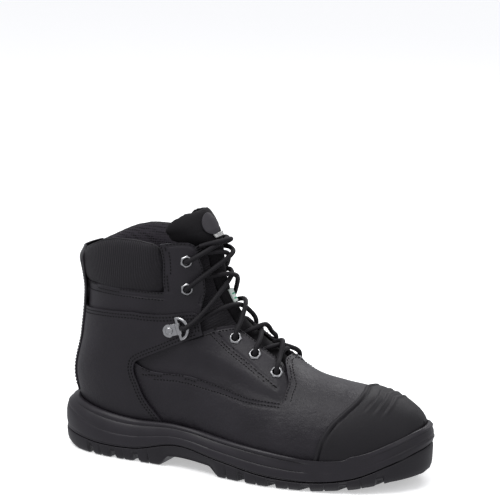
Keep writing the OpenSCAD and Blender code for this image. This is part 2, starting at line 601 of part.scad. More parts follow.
// ---------------------------------------------------------------- tongue

tongue_start = 6.35;
tongue_end = 15;
function tongue_half(u) = u < 9.5 ? .112 : u < 13 ? .112 + .05 * (u - 9.5) / 3.5
    : .162 + .2 * pow(sin(90 * clamp((u - 13) / 1.1, 0, 1)), 2);
// The tongue stands proud in the middle and thins toward its sides
tongue_bulge = [-1.9, -2.2, -3.6, -6.2, -7];
function tongue_height(u, q) = curve(tongue_bulge, abs(q)) + (u > 13.4 ? 1.5 * min(u - 13.4, 1) * (1 - abs(q)) : 0)
    - clamp((7.3 - u) / 0.3, 0, 1);
// Ridge points beyond the last section: the tongue top rises and rolls back
function tongue_point(u, q, depth) =
    let (over = max(u - 13.9, 0),
        rise = over * 17,
        v = q * tongue_half(u),
        round_off = u > 13.9 ? sqrt(1 - pow((u - 13.9) / 1.12, 2)) : 1,
        base = skin([min(u, 13.9), v * round_off], tongue_height(u, q) - depth))
    base + [-9 * over - 1.1 * over * over, 0, rise * .86] * z_scale;

module tongue_sheet(h0, h1, first, last, share, rows, cols) {
    function row(j, depth) = [for (i = [0:rows])
        let (u = first + (last - first) * i / rows) tongue_point(u, share * j / cols, depth)];
    sheet([for (j = [-cols:cols]) row(j, h0)], [for (j = [-cols:cols]) row(j, h1)]);
}
module tongue() color([0.09, 0.09, 0.095]) difference() {
    tongue_sheet(0, 5.6, tongue_start, tongue_end, 1, 24, 5);
    tongue_sheet(1, 4.6, 9, 14.75, .84, 12, 4);
}
module tongue_foam() color([0.75, 0.72, 0.6]) tongue_sheet(1.6, 4, 9.05, 14.7, .8, 12, 4);

module gusset(side) {
    rows = 14;
    cols = 4;
    grid = [for (j = [0:cols]) [for (i = [0:rows])
        let (u = 6.7 + (13.1 - 6.7) * i / rows,
            inner_v = tongue_half(min(u, 13)) + .008 + .03 * max(u - 12.6, 0),
            outer_v = curve([.205, .205, .205, .22, .285, .3, .26, .235, .235, .235, .235], (u - 6.7) / 6.4))
        [u, side * (outer_v + (inner_v - outer_v) * j / cols)]]];
    laid(grid, [-6.8], [-6.8], 0.9, side);
}
module gusset_lateral() color([0.13, 0.13, 0.135]) gusset(-1);
module gusset_medial() color([0.13, 0.13, 0.135]) gusset(1);

// Oval patch near the top of the tongue, woven tag and label strip lower down
module on_tongue(u, q, half_u, half_q, height, thickness, rows, cols, oval) {
    function place(i, j) =
        let (a = 2 * i / rows - 1, b = 2 * j / cols - 1,
            s = oval ? sqrt(1 - b * b / 2) : 1,
            r = oval ? sqrt(1 - a * a / 2) : 1)
        [u + half_u * a * s, q + half_q * b * r];
    sheet([for (j = [0:cols]) [for (i = [0:rows]) let (p = place(i, j)) tongue_point(p[0], p[1], -height)]],
        [for (j = [0:cols]) [for (i = [0:rows]) let (p = place(i, j)) tongue_point(p[0], p[1], thickness - height)]]);
}
module tongue_patch() color([0.25, 0.25, 0.26]) on_tongue(14.15, -.3, .6, .24, 1.5, 1.1, 8, 8, true);
module tongue_tag() color([0.85, 0.85, 0.85]) on_tongue(13.4, -.05, .15, .2, 1.3, 0.9, 3, 6, false);
module tongue_label() color([0.55, 0.75, 0.6]) on_tongue(9.95, 0, .28, .28, 1.1, 0.7, 4, 4, false);

// ---------------------------------------------------------------- hardware

clip_rivet = [10.47, .345];
ring_hinge = [10.37, .305];

// Place children on the surface: z outward, x toward the lace gap
module on_skin(uv, height = 0) {
    p = skin(uv, height);
    n = outward(uv[0], uv[1]);
    toward = shape_at(uv[0], uv[1] * 0.97) - shape_at(uv[0], uv[1] * 1.03);
    t = unit(toward - (toward * n) * n);
    b = cross(n, t);
    multmatrix([[t[0], b[0], n[0], p[0]], [t[1], b[1], n[1], p[1]], [t[2], b[2], n[2], p[2]], [0, 0, 0, 1]])
        children();
}

module eyelet() difference() {
    union() {
        translate([0, 0, level_leather + 0.25]) cylinder(h = 0.7, d = eyelet_rim, $fn = 6);
        translate([0, 0, level_leather + 0.9]) cylinder(h = 0.6, d1 = eyelet_rim * 0.9, d2 = eyelet_bore + 2.2, $fn = 24);
        translate([0, 0, level_leather - leather - 0.1]) cylinder(h = leather + 0.5, d = eyelet_bore + 1.3, $fn = 24);
    }
    translate([0, 0, -8]) cylinder(h = 16, d = eyelet_bore, $fn = 24);
    translate([0, 0, level_leather + 0.4]) cylinder(h = 1.2, d1 = eyelet_bore, d2 = eyelet_bore + 1.7, $fn = 24);
    translate([0, 0, level_leather - leather - 0.2]) cylinder(h = 0.6, d1 = eyelet_bore + 0.9, d2 = eyelet_bore, $fn = 24);
}
module eyelets(side) for (e = concat(lower_eyelets, upper_eyelets)) on_skin([e[0], side * e[1]]) eyelet();
module eyelets_lateral() color([0.72, 0.72, 0.73]) eyelets(-1);
module eyelets_medial() color([0.72, 0.72, 0.73]) eyelets(1);

clip_turn = 25;
ring_lift = raised + 2.6;
ring_tilt = -18;
ring_radius = (ring_width - ring_wire) / 2;
ring_out = 8.2;
bar_reach = ring_width / 2;

// The clip is a folded strap round the bar of the ring, held by a rivet
module ring_clip(side) on_skin([clip_rivet[0], side * clip_rivet[1]]) rotate([0, 0, side * clip_turn]) difference() {
    union() {
        translate([-4.5, -3.9, raised + 0.2]) cube([4.5 + ring_out, 7.8, 0.9]);
        translate([0, 0, raised + 0.2]) cylinder(h = 0.9, d = 10.4, $fn = 32);
        translate([ring_out, 3.9, ring_lift]) rotate([90, 0, 0]) cylinder(h = 7.8, d = ring_wire + 1.4, $fn = 32);
    }
    translate([ring_out, 5, ring_lift]) rotate([90, 0, 0]) cylinder(h = 10, d = ring_wire + 0.4, $fn = 32);
    translate([0, 0, -8]) cylinder(h = 16, d = 3.6, $fn = 24);
}
module ring_clip_lateral() color([0.72, 0.72, 0.73]) ring_clip(-1);
module ring_clip_medial() color([0.72, 0.72, 0.73]) ring_clip(1);

module d_ring(side) on_skin([clip_rivet[0], side * clip_rivet[1]]) rotate([0, 0, side * clip_turn])
    translate([ring_out, 0, ring_lift]) rotate([0, ring_tilt, 0]) union() {
        translate([0, bar_reach - ring_wire / 2, 0]) rotate([90, 0, 0])
            cylinder(h = ring_width - ring_wire, d = ring_wire, $fn = 24);
        rotate([0, 0, -90]) rotate_extrude(angle = 180, $fn = 48)
            translate([bar_reach - ring_wire / 2, 0]) circle(d = ring_wire, $fn = 24);
        for (s = [-1, 1]) translate([0, s * (bar_reach - ring_wire / 2), 0]) sphere(d = ring_wire, $fn = 24);
    }
module ring_lateral() color([0.78, 0.78, 0.79]) d_ring(-1);
module ring_medial() color([0.78, 0.78, 0.79]) d_ring(1);

module ring_rivet(side) on_skin([clip_rivet[0], side * clip_rivet[1]]) union() {
    translate([0, 0, raised + 1.3]) cylinder(h = 0.8, d1 = 7, d2 = 5, $fn = 32);
    translate([0, 0, level_under - 0.5]) cylinder(h = raised + 2 - level_under, d = 3, $fn = 24);
    translate([0, 0, level_under - 0.9]) cylinder(h = 0.9, d = 6, $fn = 32);
}
module ring_rivet_lateral() color([0.72, 0.72, 0.73]) ring_rivet(-1);
module ring_rivet_medial() color([0.72, 0.72, 0.73]) ring_rivet(1);

// ---------------------------------------------------------------- lace

// Key points of the lace, as places on the boot surface with a height above it
function over_hole(e, side) = [skin([e[0], side * e[1]], -1.2), skin([e[0], side * e[1]], 1.4)];
function under_hole(e, side) = [skin([e[0] - .01, side * (e[1] - .016)], -4.4), skin([e[0], side * e[1]], -3)];

// Hop from a hole on one side to the next hole on the other, over the tongue
function hop(a, b, side, over) =
    let (m = (a[0] + b[0]) / 2, d = b[0] - a[0])
    concat(over_hole(a, side),
        [skin([a[0] + .08 * d, side * (a[1] - .024)], 3.6), skin([a[0] + .22 * d, side * .09], 2.4),
            skin([m, side * .012], over), skin([m + .22 * d, -side * .055], over / 2 - 1.6),
            skin([b[0] - .1 * d, -side * .1], -4.15)],
        under_hole(b, -side));

// The same between the upper eyelets, where the gap is wider
function hop_high(a, b, side, over) =
    let (m = (a[0] + b[0]) / 2, d = b[0] - a[0])
    concat(over_hole(a, side),
        [skin([a[0] + .08 * d, side * (a[1] - .022)], 3.8), skin([a[0] + .18 * d, side * .18], 3.2),
            skin([m, side * .012], over)], dive(b, -side, over), under_hole(b, -side));
function dive(b, side, over) =
    [skin([b[0] - .3, side * .07], over / 2), skin([b[0] - .12, side * .14], -1.6),
        skin([b[0] - .05, side * .19], -4.6)];

// Turn round the bow of the ring: in underneath, up through the ring and back over it
function ring_frame(side) =
    let (uv = [clip_rivet[0], side * clip_rivet[1]],
        n = outward(uv[0], uv[1]),
        w = shape_at(uv[0], uv[1] * 0.97) - shape_at(uv[0], uv[1] * 1.03),
        t = unit(w - (w * n) * n),
        b = cross(n, t),
        a = side * clip_turn)
    [skin(uv, 0), cos(a) * t + sin(a) * b, n];
function round_bow(side) =
    let (f = ring_frame(side),
        out = ring_out + ring_radius * cos(ring_tilt),
        up = ring_lift - ring_radius * sin(ring_tilt),
        r = ring_wire / 2 + lace_diameter / 2 + 0.7)
    [for (a = [-90, -135, 180, 135, 90]) f[0] + (out + r * cos(a)) * f[1] + (up + r * sin(a)) * f[2]];
function hop_ring(a, b, side, over) =
    let (m = (a[0] + 10.1) / 2, m2 = (b[0] + 10.1) / 2, d = 10.1 - a[0])
    concat(over_hole(a, side),
        [skin([a[0] + .08 * d, side * (a[1] - .024)], 3.6), skin([a[0] + .22 * d, side * .09], 2.4),
            skin([m, side * .012], over), skin([m + .22, -side * .07], over / 2 + .6), skin([9.85, -side * .15], 2),
            skin([10, -side * .215], 4.1)],
        round_bow(-side),
        [skin([10.15, -side * .235], 8), skin([10.35, -side * .15], 5), skin([m2, -side * .012], over + .4)],
        dive(b, side, over), under_hole(b, side));
function last_run(a, side, over) =
    concat(over_hole(a, side),
        [skin([a[0] + .04, side * (a[1] - .022)], 3.8), skin([a[0] + .1, side * .2], 3.2),
            skin([a[0] + .25, side * .012], over), skin([a[0] + .35, -side * .08], over / 2),
            skin([a[0] + .4, -side * .14], -1.8), skin([a[0] + .4, -side * .195], -4.6)]);
function chain(side, over) = concat(
    hop(lower_eyelets[0], lower_eyelets[1], side, over), hop(lower_eyelets[1], lower_eyelets[2], -side, over),
    hop_ring(lower_eyelets[2], upper_eyelets[0], side, over),
    hop_high(upper_eyelets[0], upper_eyelets[1], side, over), last_run(upper_eyelets[1], -side, over));
function backward(list) = [for (i = [len(list) - 1:-1:0]) list[i]];
first_hole = lower_eyelets[0];
bar_rise = [[.168, -3], [.15, -4.2], [.088, -4.95], [.056, -1.1], [.03, .5]];
lace_bar = concat([for (r = bar_rise) skin([first_hole[0] + 3.6 * (.168 - max(r[0], .088)), -r[0]], r[1])],
    [skin([first_hole[0] + .3, 0], 1)],
    [for (k = [4:-1:0]) skin([first_hole[0] + 3.6 * (.168 - max(bar_rise[k][0], .088)), bar_rise[k][0]], bar_rise[k][1])]);
lace_way = concat(backward(chain(-1, 4.95)), lace_bar, chain(1, .9));
lace_steps = 2;
lace_line = [for (i = [0:lace_steps * (len(lace_way) - 1)]) smooth(lace_way, i / lace_steps)];

// Round tube along a line of points; each ring is carried on from the last without twist
module cord(line, diameter, sides) {
    n = len(line);
    tangents = [for (i = [0:n - 1]) unit(line[min(i + 1, n - 1)] - line[max(i - 1, 0)])];
    ups = [for (i = 0, a = cross(tangents[0], [1, 0, 0]); i < n;
        i = i + 1, a = i < n ? a - (a * tangents[i]) * tangents[i] : a) unit(a)];
    points = [for (i = [0:n - 1]) for (k = [0:sides - 1])
        let (w = 360 * k / sides, side = cross(tangents[i], ups[i]))
        line[i] + diameter / 2 * (cos(w) * ups[i] + sin(w) * side)];
    faces = concat(
        [for (i = [0:n - 2]) for (k = [0:sides - 1]) let (m = (k + 1) % sides)
            each [[i * sides + k, (i + 1) * sides + k, (i + 1) * sides + m],
                [i * sides + k, (i + 1) * sides + m, i * sides + m]]],
        [[for (k = [0:sides - 1]) k], [for (k = [sides - 1:-1:0]) (n - 1) * sides + k]]);
    polyhedron(points, faces, convexity = 10);
}
module lace() color([0.05, 0.05, 0.055]) cord(lace_line, lace_diameter, 6);

outsole();
midsole();
puncture_plate();
insole_board();
footbed();
steel_toe_cap();
toe_cap_edge_strip();
heel_counter();
vamp_lining();
quarter_lining();
vamp();
toe_guard();
facing_lateral();
facing_medial();
ankle_band_lateral();
ankle_band_medial();
rear_quarter_lateral();
rear_quarter_medial();
back_strip();
collar_lateral();
collar_medial();
collar_foam_lateral();
collar_foam_medial();
tongue();
tongue_foam();
gusset_lateral();
gusset_medial();
tongue_patch();
tongue_tag();
tongue_label();
eyelets_lateral();
eyelets_medial();
ring_clip_lateral();
ring_clip_medial();
ring_lateral();
ring_medial();
ring_rivet_lateral();
ring_rivet_medial();
lace();
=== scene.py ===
"""Looks of the steel toe work boot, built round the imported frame.

The upper is laid on one boot surface, which a table of sections describes. Lengths inside the
geometry functions are in millimetres, and MM turns them into the metres of the frame.
"""
import math

import bmesh
import bpy
import numpy as np
from mathutils import Matrix, Vector
from mathutils.bvhtree import BVHTree
from mathutils.kdtree import KDTree


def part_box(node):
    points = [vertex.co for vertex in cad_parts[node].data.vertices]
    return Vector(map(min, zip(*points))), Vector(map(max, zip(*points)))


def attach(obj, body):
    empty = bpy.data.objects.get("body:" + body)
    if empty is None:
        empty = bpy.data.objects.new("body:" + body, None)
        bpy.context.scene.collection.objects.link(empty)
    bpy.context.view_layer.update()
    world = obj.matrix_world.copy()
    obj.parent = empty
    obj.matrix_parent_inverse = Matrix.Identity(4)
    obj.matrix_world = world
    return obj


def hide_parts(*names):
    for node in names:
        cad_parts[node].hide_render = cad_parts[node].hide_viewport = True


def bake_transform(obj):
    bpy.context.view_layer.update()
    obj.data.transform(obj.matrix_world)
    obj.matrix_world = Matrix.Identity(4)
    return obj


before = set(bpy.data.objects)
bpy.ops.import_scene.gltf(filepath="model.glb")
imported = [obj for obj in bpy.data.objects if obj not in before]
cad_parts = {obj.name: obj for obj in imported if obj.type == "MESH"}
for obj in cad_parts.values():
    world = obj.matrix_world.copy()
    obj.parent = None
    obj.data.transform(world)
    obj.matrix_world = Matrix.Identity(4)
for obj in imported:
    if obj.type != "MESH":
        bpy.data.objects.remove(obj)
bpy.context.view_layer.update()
MM = 0.001
BOOT = "boot"
TONGUE = "tongue"
SIDES = {"lateral": -1, "medial": 1}

# ---------------------------------------------------------------- driving sizes, in millimetres

leather = 1.8
layer_gap = 0.35
lining = 1.1
steel_wall = 2.0
lace_diameter = 3.8
eyelet_rim = 10.0
eyelet_bore = 5.8
ring_wire = 2.6
ring_width = 19.5
rim_wall = 2.6
strap_wall = 0.9
strap_gap = 0.2
sole_design_half = 156
sole_design_height = 32.7

raised = leather + 0.4
level_leather = -0.5 * layer_gap
level_under = level_leather - leather - layer_gap
level_lining = level_under - steel_wall - layer_gap
strip_level = raised + 0.8 * leather + layer_gap

# Sections of the boot surface, toe tip to collar: ridge x, ridge z, base x, base z, outer and
# inner half width, place of the widest point, squareness of front and back, middle y
SECTIONS = np.array([
    [148.3, 49.5, 148.3, 20, 0, 0, .50, 0, 0, 6],
    [146.3, 53, 145.5, 11, 17, 18.5, .58, .10, .20, 5.5],
    [139.5, 59.5, 138, 6, 27.5, 28.5, .64, .15, .30, 4.5],
    [126, 67.5, 123, 3, 36, 36.5, .66, .15, .30, 2.5],
    [106, 73, 100, 0, 43.5, 44, .66, .12, .30, .5],
    [82, 76, 72, -2, 48, 48, .66, .06, .30, 0],
    [59, 81, 40, -2, 50.5, 47, .66, 0, .30, .5],
    [38, 94, 3, 0, 47, 41, .63, 0, .25, 1.5],
    [20, 106, -35, 4, 41, 34, .60, 0, .20, 2.5],
    [3, 119, -78, 8, 37, 33, .58, 0, .20, 3.5],
    [-9, 137, -124, 14, 35.5, 35, .58, 0, .20, 3.5],
    [-14, 153, -144, 54, 35, 34, .58, 0, .12, 3.5],
    [-16, 167, -138.5, 92, 34, 33, .56, 0, .08, 3.5],
    [-18, 180, -135.5, 128, 34, 33, .52, 0, .05, 3.5],
    [-22, 190, -141, 163, 35.5, 34.5, .50, 0, 0, 3.5],
    [-28, 197, -144, 180, 36, 35, .50, 0, 0, 3.5]])

# Sole tables, toe tip to back of the heel in equal turns of a half circle
sole_outer = np.array([-7, 12, 31, 43.7, 52, 55.1, 49.3, 41.2, 39, 36.4, 28, 14.5, -3.5])
sole_inner = np.array([7, 25, 41, 49.8, 54.4, 53.6, 44.4, 40.7, 43.8, 45, 37, 24.5, 3.5])
rim_heights = np.array([47.5, 46, 38, 28.5, 25.5, 28.5, 31.5, 35.5, 34.5, 37.5, 41.5, 43, 43])
parting_heights = np.array([32, 29, 22, 11.8, 7.4, 8.6, 13.8, 18.7, 11.2, 10.4, 12.5, 14, 14])
floor_heights = np.array([29, 28, 24, 18, 16, 17.5, 20.5, 23, 24, 25, 26, 26, 26])
tread_heights = np.array([14.5, 14, 12.6, 7, 3.8, 4, 7.5, 9.5, 5.2, 5, 6, 8.5, 9])
ground_heights = np.array([11, 10.5, 8.6, 3, 0, 0, 0, 0, 0, 0, 0, 3, 4])
seat_heights = np.array([20, 19, 15.5, 9.8, 6.8, 8, 12.5, 16, 10.4, 9.8, 11, 12, 12])
edge_rise = 4.0
outline_shrink = 48.0
bumper_rise = 2.2


# ---------------------------------------------------------------- curves and the boot surface

def smooth(rows, at):
    """Value of a table at a position counted in rows, on a smooth curve through its points."""
    rows = np.asarray(rows, float)
    padded = np.concatenate([[2 * rows[0] - rows[1]], rows, [2 * rows[-1] - rows[-2]]])
    at = np.asarray(at, float)
    i = np.clip(np.floor(at).astype(int), 0, len(rows) - 2)
    t = at - i
    if rows.ndim > 1:
        t = t[..., None]
    a, b, c, d = padded[i], padded[i + 1], padded[i + 2], padded[i + 3]
    bend = (2 * a - 5 * b + 4 * c - d) * t * t + (3 * b - a - 3 * c + d) * t ** 3
    return 0.5 * (2 * b + (c - a) * t + bend)


def curve(points, t):
    """Point a share of the way along a smooth curve through evenly spaced points."""
    return smooth(points, np.clip(t, 0, 1) * (len(points) - 1))


def blend(a, b, share):
    return a + share * (b - a)


def step(low, high, value):
    """0 below low, 1 above high, with a soft rise between them."""
    t = np.clip((value - low) / (high - low), 0, 1)
    return t * t * (3 - 2 * t)


def unit(a):
    return a / np.maximum(np.linalg.norm(a, axis=-1, keepdims=True), 1e-9)


def outline_width(samples=41):
    """Width of the sole tables before any scaling."""
    turns = np.linspace(0, len(sole_outer) - 1, samples)
    return smooth(sole_outer, turns).max() + smooth(sole_inner, turns).max()


sole_low, sole_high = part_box("outsole")
half_length = (sole_high.x - sole_low.x) / MM / 2
x_scale = half_length / sole_design_half
y_scale = (sole_high.y - sole_low.y) / MM / outline_width()
z_scale = sole_high.z / MM / sole_design_height
# The box of a rounded piece is a hair short of its outline, so a tiny difference counts as none
if abs(y_scale - 1) < 0.01:
    y_scale = 1.0
if abs(z_scale - 1) < 0.01:
    z_scale = 1.0


def sole_at(rows, t):
    """Value of a sole table at a share of the way from toe to heel."""
    return smooth(rows, t * (len(rows) - 1))


def turn_of(x):
    """Share of the way from toe to heel, in turns of a half circle, at a length position."""
    return np.arccos(np.clip(x / half_length, -1, 1)) / np.pi


def sole_height(rows, x):
    return z_scale * sole_at(rows, turn_of(x))


def shape_at(u, v):
    """Point of the boot surface at section u, share of the way round v (0 ridge, 1 base)."""
    u, v = np.broadcast_arrays(np.asarray(u, float), np.asarray(v, float))
    row = smooth(SECTIONS, u)
    c, s = np.cos(np.pi * abs(v)), np.sin(np.pi * abs(v))
    p = np.where(c > 0, row[..., 6] * (1 - c), row[..., 6] - (1 - row[..., 6]) * c)
    k = np.where(c > 0, row[..., 7], row[..., 8])
    half = np.where(v < 0, -row[..., 4], row[..., 5])
    return np.stack([x_scale * (row[..., 0] + p * (row[..., 2] - row[..., 0])),
                     y_scale * (half * s * (1 + k * (1 - s)) + row[..., 9]),
                     z_scale * (row[..., 1] + p * (row[..., 3] - row[..., 1]))], -1)


def outward(u, v):
    """Direction straight out of the boot surface."""
    across = shape_at(u, v + 0.004) - shape_at(u, v - 0.004)
    lengthwise = shape_at(u + 0.02, v) - shape_at(u - 0.02, v)
    return unit(np.cross(across, lengthwise))


def skin(u, v, height=0.0):
    """Point a given height above the boot surface."""
    u, v = np.asarray(u, float), np.asarray(v, float)
    return shape_at(u, v) + np.asarray(height, float)[..., None] * outward(u, v)


def meets(u, rows, add):
    """Share of the way round at which a section comes down to the heights of a sole table."""
    row = smooth(SECTIONS, np.asarray(u, float))
    p = np.full(row.shape[:-1], 0.7)
    for _ in range(8):
        x = x_scale * (row[..., 0] + p * (row[..., 2] - row[..., 0]))
        drop = z_scale * (row[..., 1] - row[..., 3])
        p = np.clip((z_scale * row[..., 1] - add - sole_height(rows, x)) / drop, 0, 1.2)
    wide = row[..., 6]
    front = np.arccos(np.clip(1 - p / wide, -1, 1)) / np.pi
    back = np.arccos(np.clip(-(p - wide) / (1 - wide), -1, 1)) / np.pi
    return np.where(p >= 1, 1.0, np.where(p < wide, front, back))


def tuck(u):
    """Share of the way round at which the upper turns in under the insole board."""
    return meets(u, floor_heights, edge_rise)


def patch(low, high, front, back, s, t):
    """Places spanned by four edges: low and high run front to back, the others low to high."""
    low, high, front, back = (np.asarray(e, float) for e in (low, high, front, back))
    s, t = s[..., None], t[..., None]
    return ((1 - t) * curve(low, s[..., 0]) + t * curve(high, s[..., 0])
            + (1 - s) * curve(front, t[..., 0]) + s * curve(back, t[..., 0])
            - (1 - s) * (1 - t) * low[0] - s * (1 - t) * low[-1]
            - (1 - s) * t * high[0] - s * t * high[-1])


def grid(rows, columns):
    """Shares (along the columns, along the rows) of a regular grid."""
    t, s = np.meshgrid(np.linspace(0, 1, rows + 1), np.linspace(0, 1, columns + 1), indexing="ij")
    return s, t


# ---------------------------------------------------------------- making objects

def make_object(name, points, faces, smooth_shading=True):
    mesh = bpy.data.meshes.new(name)
    mesh.from_pydata((np.asarray(points, float) * MM).tolist(), [], faces)
    mesh.validate()
    bm = bmesh.new()
    bm.from_mesh(mesh)
    bmesh.ops.remove_doubles(bm, verts=bm.verts, dist=0.00001)
    bmesh.ops.dissolve_degenerate(bm, edges=bm.edges, dist=0.000005)
    bmesh.ops.recalc_face_normals(bm, faces=bm.faces)
    if bm.calc_volume(signed=True) < 0:
        bmesh.ops.reverse_faces(bm, faces=bm.faces)
    bm.to_mesh(mesh)
    bm.free()
    obj = bpy.data.objects.new(name, mesh)
    bpy.context.scene.collection.objects.link(obj)
    if smooth_shading:
        mesh.shade_smooth()
    return obj


def sheet_faces(rows, columns, keep=None):
    """Faces of a closed sheet between an outer and an inner grid of points."""
    n = rows * columns
    faces = []

    def there(i, j):
        inside = 0 <= i < rows - 1 and 0 <= j < columns - 1
        return inside and (keep is None or keep[i][j])

    for i in range(rows - 1):
        for j in range(columns - 1):
            if not there(i, j):
                continue
            a, b = i * columns + j, i * columns + j + 1
            c, d = b + columns, a + columns
            faces.append((a, b, c, d))
            faces.append((n + d, n + c, n + b, n + a))
            for free, p, q in ((not there(i - 1, j), a, b), (not there(i, j + 1), b, c),
                               (not there(i + 1, j), c, d), (not there(i, j - 1), d, a)):
                if free:
                    faces.append((p, n + p, n + q, q))
    return faces


def sheet(name, outer, inner, keep=None):
    rows, columns = outer.shape[:2]
    points = np.concatenate([outer.reshape(-1, 3), inner.reshape(-1, 3)])
    obj = make_object(name, points, sheet_faces(rows, columns, keep))
    drop_loose(obj)
    return obj


def drop_loose(obj):
    bm = bmesh.new()
    bm.from_mesh(obj.data)
    loose = [v for v in bm.verts if not v.link_faces]
    bmesh.ops.delete(bm, geom=loose, context="VERTS")
    bm.to_mesh(obj.data)
    bm.free()


def bevel(obj, width, segments=2, angle=50, cut=False):
    """Rounds the free edges of a piece; a cut edge takes the second material of the piece, on leather a
    lighter leather that paints a highlight along the edge.
    """
    modifier = obj.modifiers.new("bevel", "BEVEL")
    if cut:
        modifier.material = 1
    modifier.width = width * MM
    modifier.segments = segments
    modifier.limit_method = "ANGLE"
    modifier.angle_limit = math.radians(angle)
    modifier.harden_normals = False


def dress(obj, material, body, slot, *nodes):
    """Gives a piece its material and body, and hides the CAD nodes it stands for."""
    obj.data.materials.clear()
    for m in (material if isinstance(material, (list, tuple)) else [material]):
        obj.data.materials.append(m)
    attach(obj, body)
    if nodes:
        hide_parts(*nodes)
    return obj


def revolve(profile, sides, radius_at=None):
    """Rings of points round z: profile rows are radius and height, radius_at reshapes a ring."""
    angles = np.linspace(0, 2 * np.pi, sides, endpoint=False)
    rings = []
    for radius, height in profile:
        r = np.full(sides, float(radius)) if radius_at is None else radius_at(radius, angles)
        rings.append(np.stack([r * np.cos(angles), r * np.sin(angles), np.full(sides, height)], -1))
    return np.array(rings)


def ring_faces(count, sides, first=0, closed=False, caps=True):
    faces = []
    for i in range(count if closed else count - 1):
        a, b = first + i * sides, first + ((i + 1) % count) * sides
        for k in range(sides):
            m = (k + 1) % sides
            faces.append((a + k, a + m, b + m, b + k))
    if caps and not closed:
        faces.append(tuple(first + k for k in range(sides)))
        faces.append(tuple(first + (count - 1) * sides + k for k in reversed(range(sides))))
    return faces


def frame_on_skin(u, v, turn=0.0):
    """Place on the surface: its origin, then x toward the lace gap turned by degrees, y, z outward."""
    n = outward(u, v)
    toward = shape_at(u, v * 0.97) - shape_at(u, v * 1.03)
    t = unit(toward - np.dot(toward, n) * n)
    b = np.cross(n, t)
    c, s = math.cos(math.radians(turn)), math.sin(math.radians(turn))
    return shape_at(u, v), c * t + s * b, c * b - s * t, n


def to_skin(points, place):
    origin, x, y, z = place
    return origin + points[..., :1] * x + points[..., 1:2] * y + points[..., 2:3] * z


# ---------------------------------------------------------------- materials

class Nodes:
    """A short way to write a node tree."""

    def __init__(self, name, base, roughness, specular=0.5, metallic=0.0):
        self.material = bpy.data.materials.new(name)
        self.material.use_nodes = True
        self.tree = self.material.node_tree
        self.shader = self.tree.nodes["Principled BSDF"]
        self.shader.inputs["Base Color"].default_value = (*base, 1)
        self.shader.inputs["Roughness"].default_value = roughness
        self.shader.inputs["Specular IOR Level"].default_value = specular
        self.shader.inputs["Metallic"].default_value = metallic
        self.height = None

    def add(self, kind, **settings):
        node = self.tree.nodes.new(kind)
        for key, value in settings.items():
            if hasattr(node, key):
                setattr(node, key, value)
            else:
                node.inputs[key.replace("_", " ")].default_value = value
        return node

    def link(self, source, target, out=0, to=0):
        self.tree.links.new(source.outputs[out], target.inputs[to])
        return target

    def coordinates(self, attribute=None):
        """Positions in millimetres: the object's own, or a stored attribute of the piece."""
        scale = self.add("ShaderNodeVectorMath", operation="SCALE")
        scale.inputs["Scale"].default_value = 1.0 if attribute else 1 / MM
        if attribute:
            source = self.add("ShaderNodeAttribute", attribute_name=attribute)
            self.link(source, scale, 1)
        else:
            source = self.add("ShaderNodeTexCoord")
            self.link(source, scale, 3)
        return scale

    def noise(self, place, scale, detail=3, roughness=0.5):
        node = self.add("ShaderNodeTexNoise", Scale=scale, Detail=detail, Roughness=roughness)
        self.link(place, node)
        return node

    def ramp(self, source, low, high, stops=(0.3, 0.7), out=0):
        node = self.add("ShaderNodeMapRange")
        for key, value in zip(("From Min", "From Max", "To Min", "To Max"), (*stops, low, high)):
            node.inputs[key].default_value = value
        self.link(source, node, out)
        return node

    def math(self, operation, a, b=None, value=None, out_a=0, out_b=0):
        node = self.add("ShaderNodeMath", operation=operation)
        self.link(a, node, out_a)
        if b is not None:
            self.link(b, node, out_b, 1)
        elif value is not None:
            node.inputs[1].default_value = value
        return node

    def tint(self, source, low, high, out=0):
        """Base colour that runs between two colours with a 0 to 1 source."""
        node = self.add("ShaderNodeMix", data_type="RGBA")
        node.inputs[6].default_value = (*low, 1)
        node.inputs[7].default_value = (*high, 1)
        self.link(source, node, out)
        self.tree.links.new(node.outputs[2], self.shader.inputs["Base Color"])
        return node

    def roughness(self, source, out=0):
        self.tree.links.new(source.outputs[out], self.shader.inputs["Roughness"])

    def bump(self, source, distance, strength=1.0, out=0):
        """Adds a bump of a height in millimetres; bumps stack."""
        node = self.add("ShaderNodeBump")
        node.inputs["Strength"].default_value = strength
        node.inputs["Distance"].default_value = distance * MM
        self.tree.links.new(source.outputs[out], node.inputs["Height"])
        if self.height is not None:
            self.tree.links.new(self.height.outputs[0], node.inputs["Normal"])
        self.tree.links.new(node.outputs[0], self.shader.inputs["Normal"])
        self.height = node


def grey(value):
    """A near neutral grey with the faint violet cast of dyed leather."""
    return (value, value * 0.86, value * 1.12)


def leather_material(name, base, roughness, pebble=0.09, wrinkle=0.2):
    """Black full grain leather: fine pebbles, soft wrinkles, uneven sheen."""
    n = Nodes(name, base, roughness, specular=0.30)
    place = n.coordinates()
    broad = n.noise(place, 0.035, 3)
    n.tint(n.ramp(broad, 0, 1), tuple(c * 0.86 for c in base), tuple(c * 1.18 for c in base))
    fine = n.noise(place, 0.9, 4, 0.6)
    mixed = n.math("ADD", n.ramp(broad, -0.06, 0.07), n.ramp(fine, roughness - 0.05, roughness + 0.05))
    n.roughness(mixed)
    cells = n.add("ShaderNodeTexVoronoi", feature="DISTANCE_TO_EDGE", Scale=1.15)
    n.link(place, cells)
    n.bump(n.ramp(cells, 0, 1, (0.0, 0.22)), pebble, 0.5)
    n.bump(n.noise(place, 0.07, 3, 0.5), wrinkle * 2.6, 0.5)
    n.bump(n.noise(place, 0.16, 4, 0.55), wrinkle * 2.2, 0.5)
    n.bump(n.noise(place, 0.5, 5, 0.65), wrinkle * 1.2, 0.5)
    return n.material


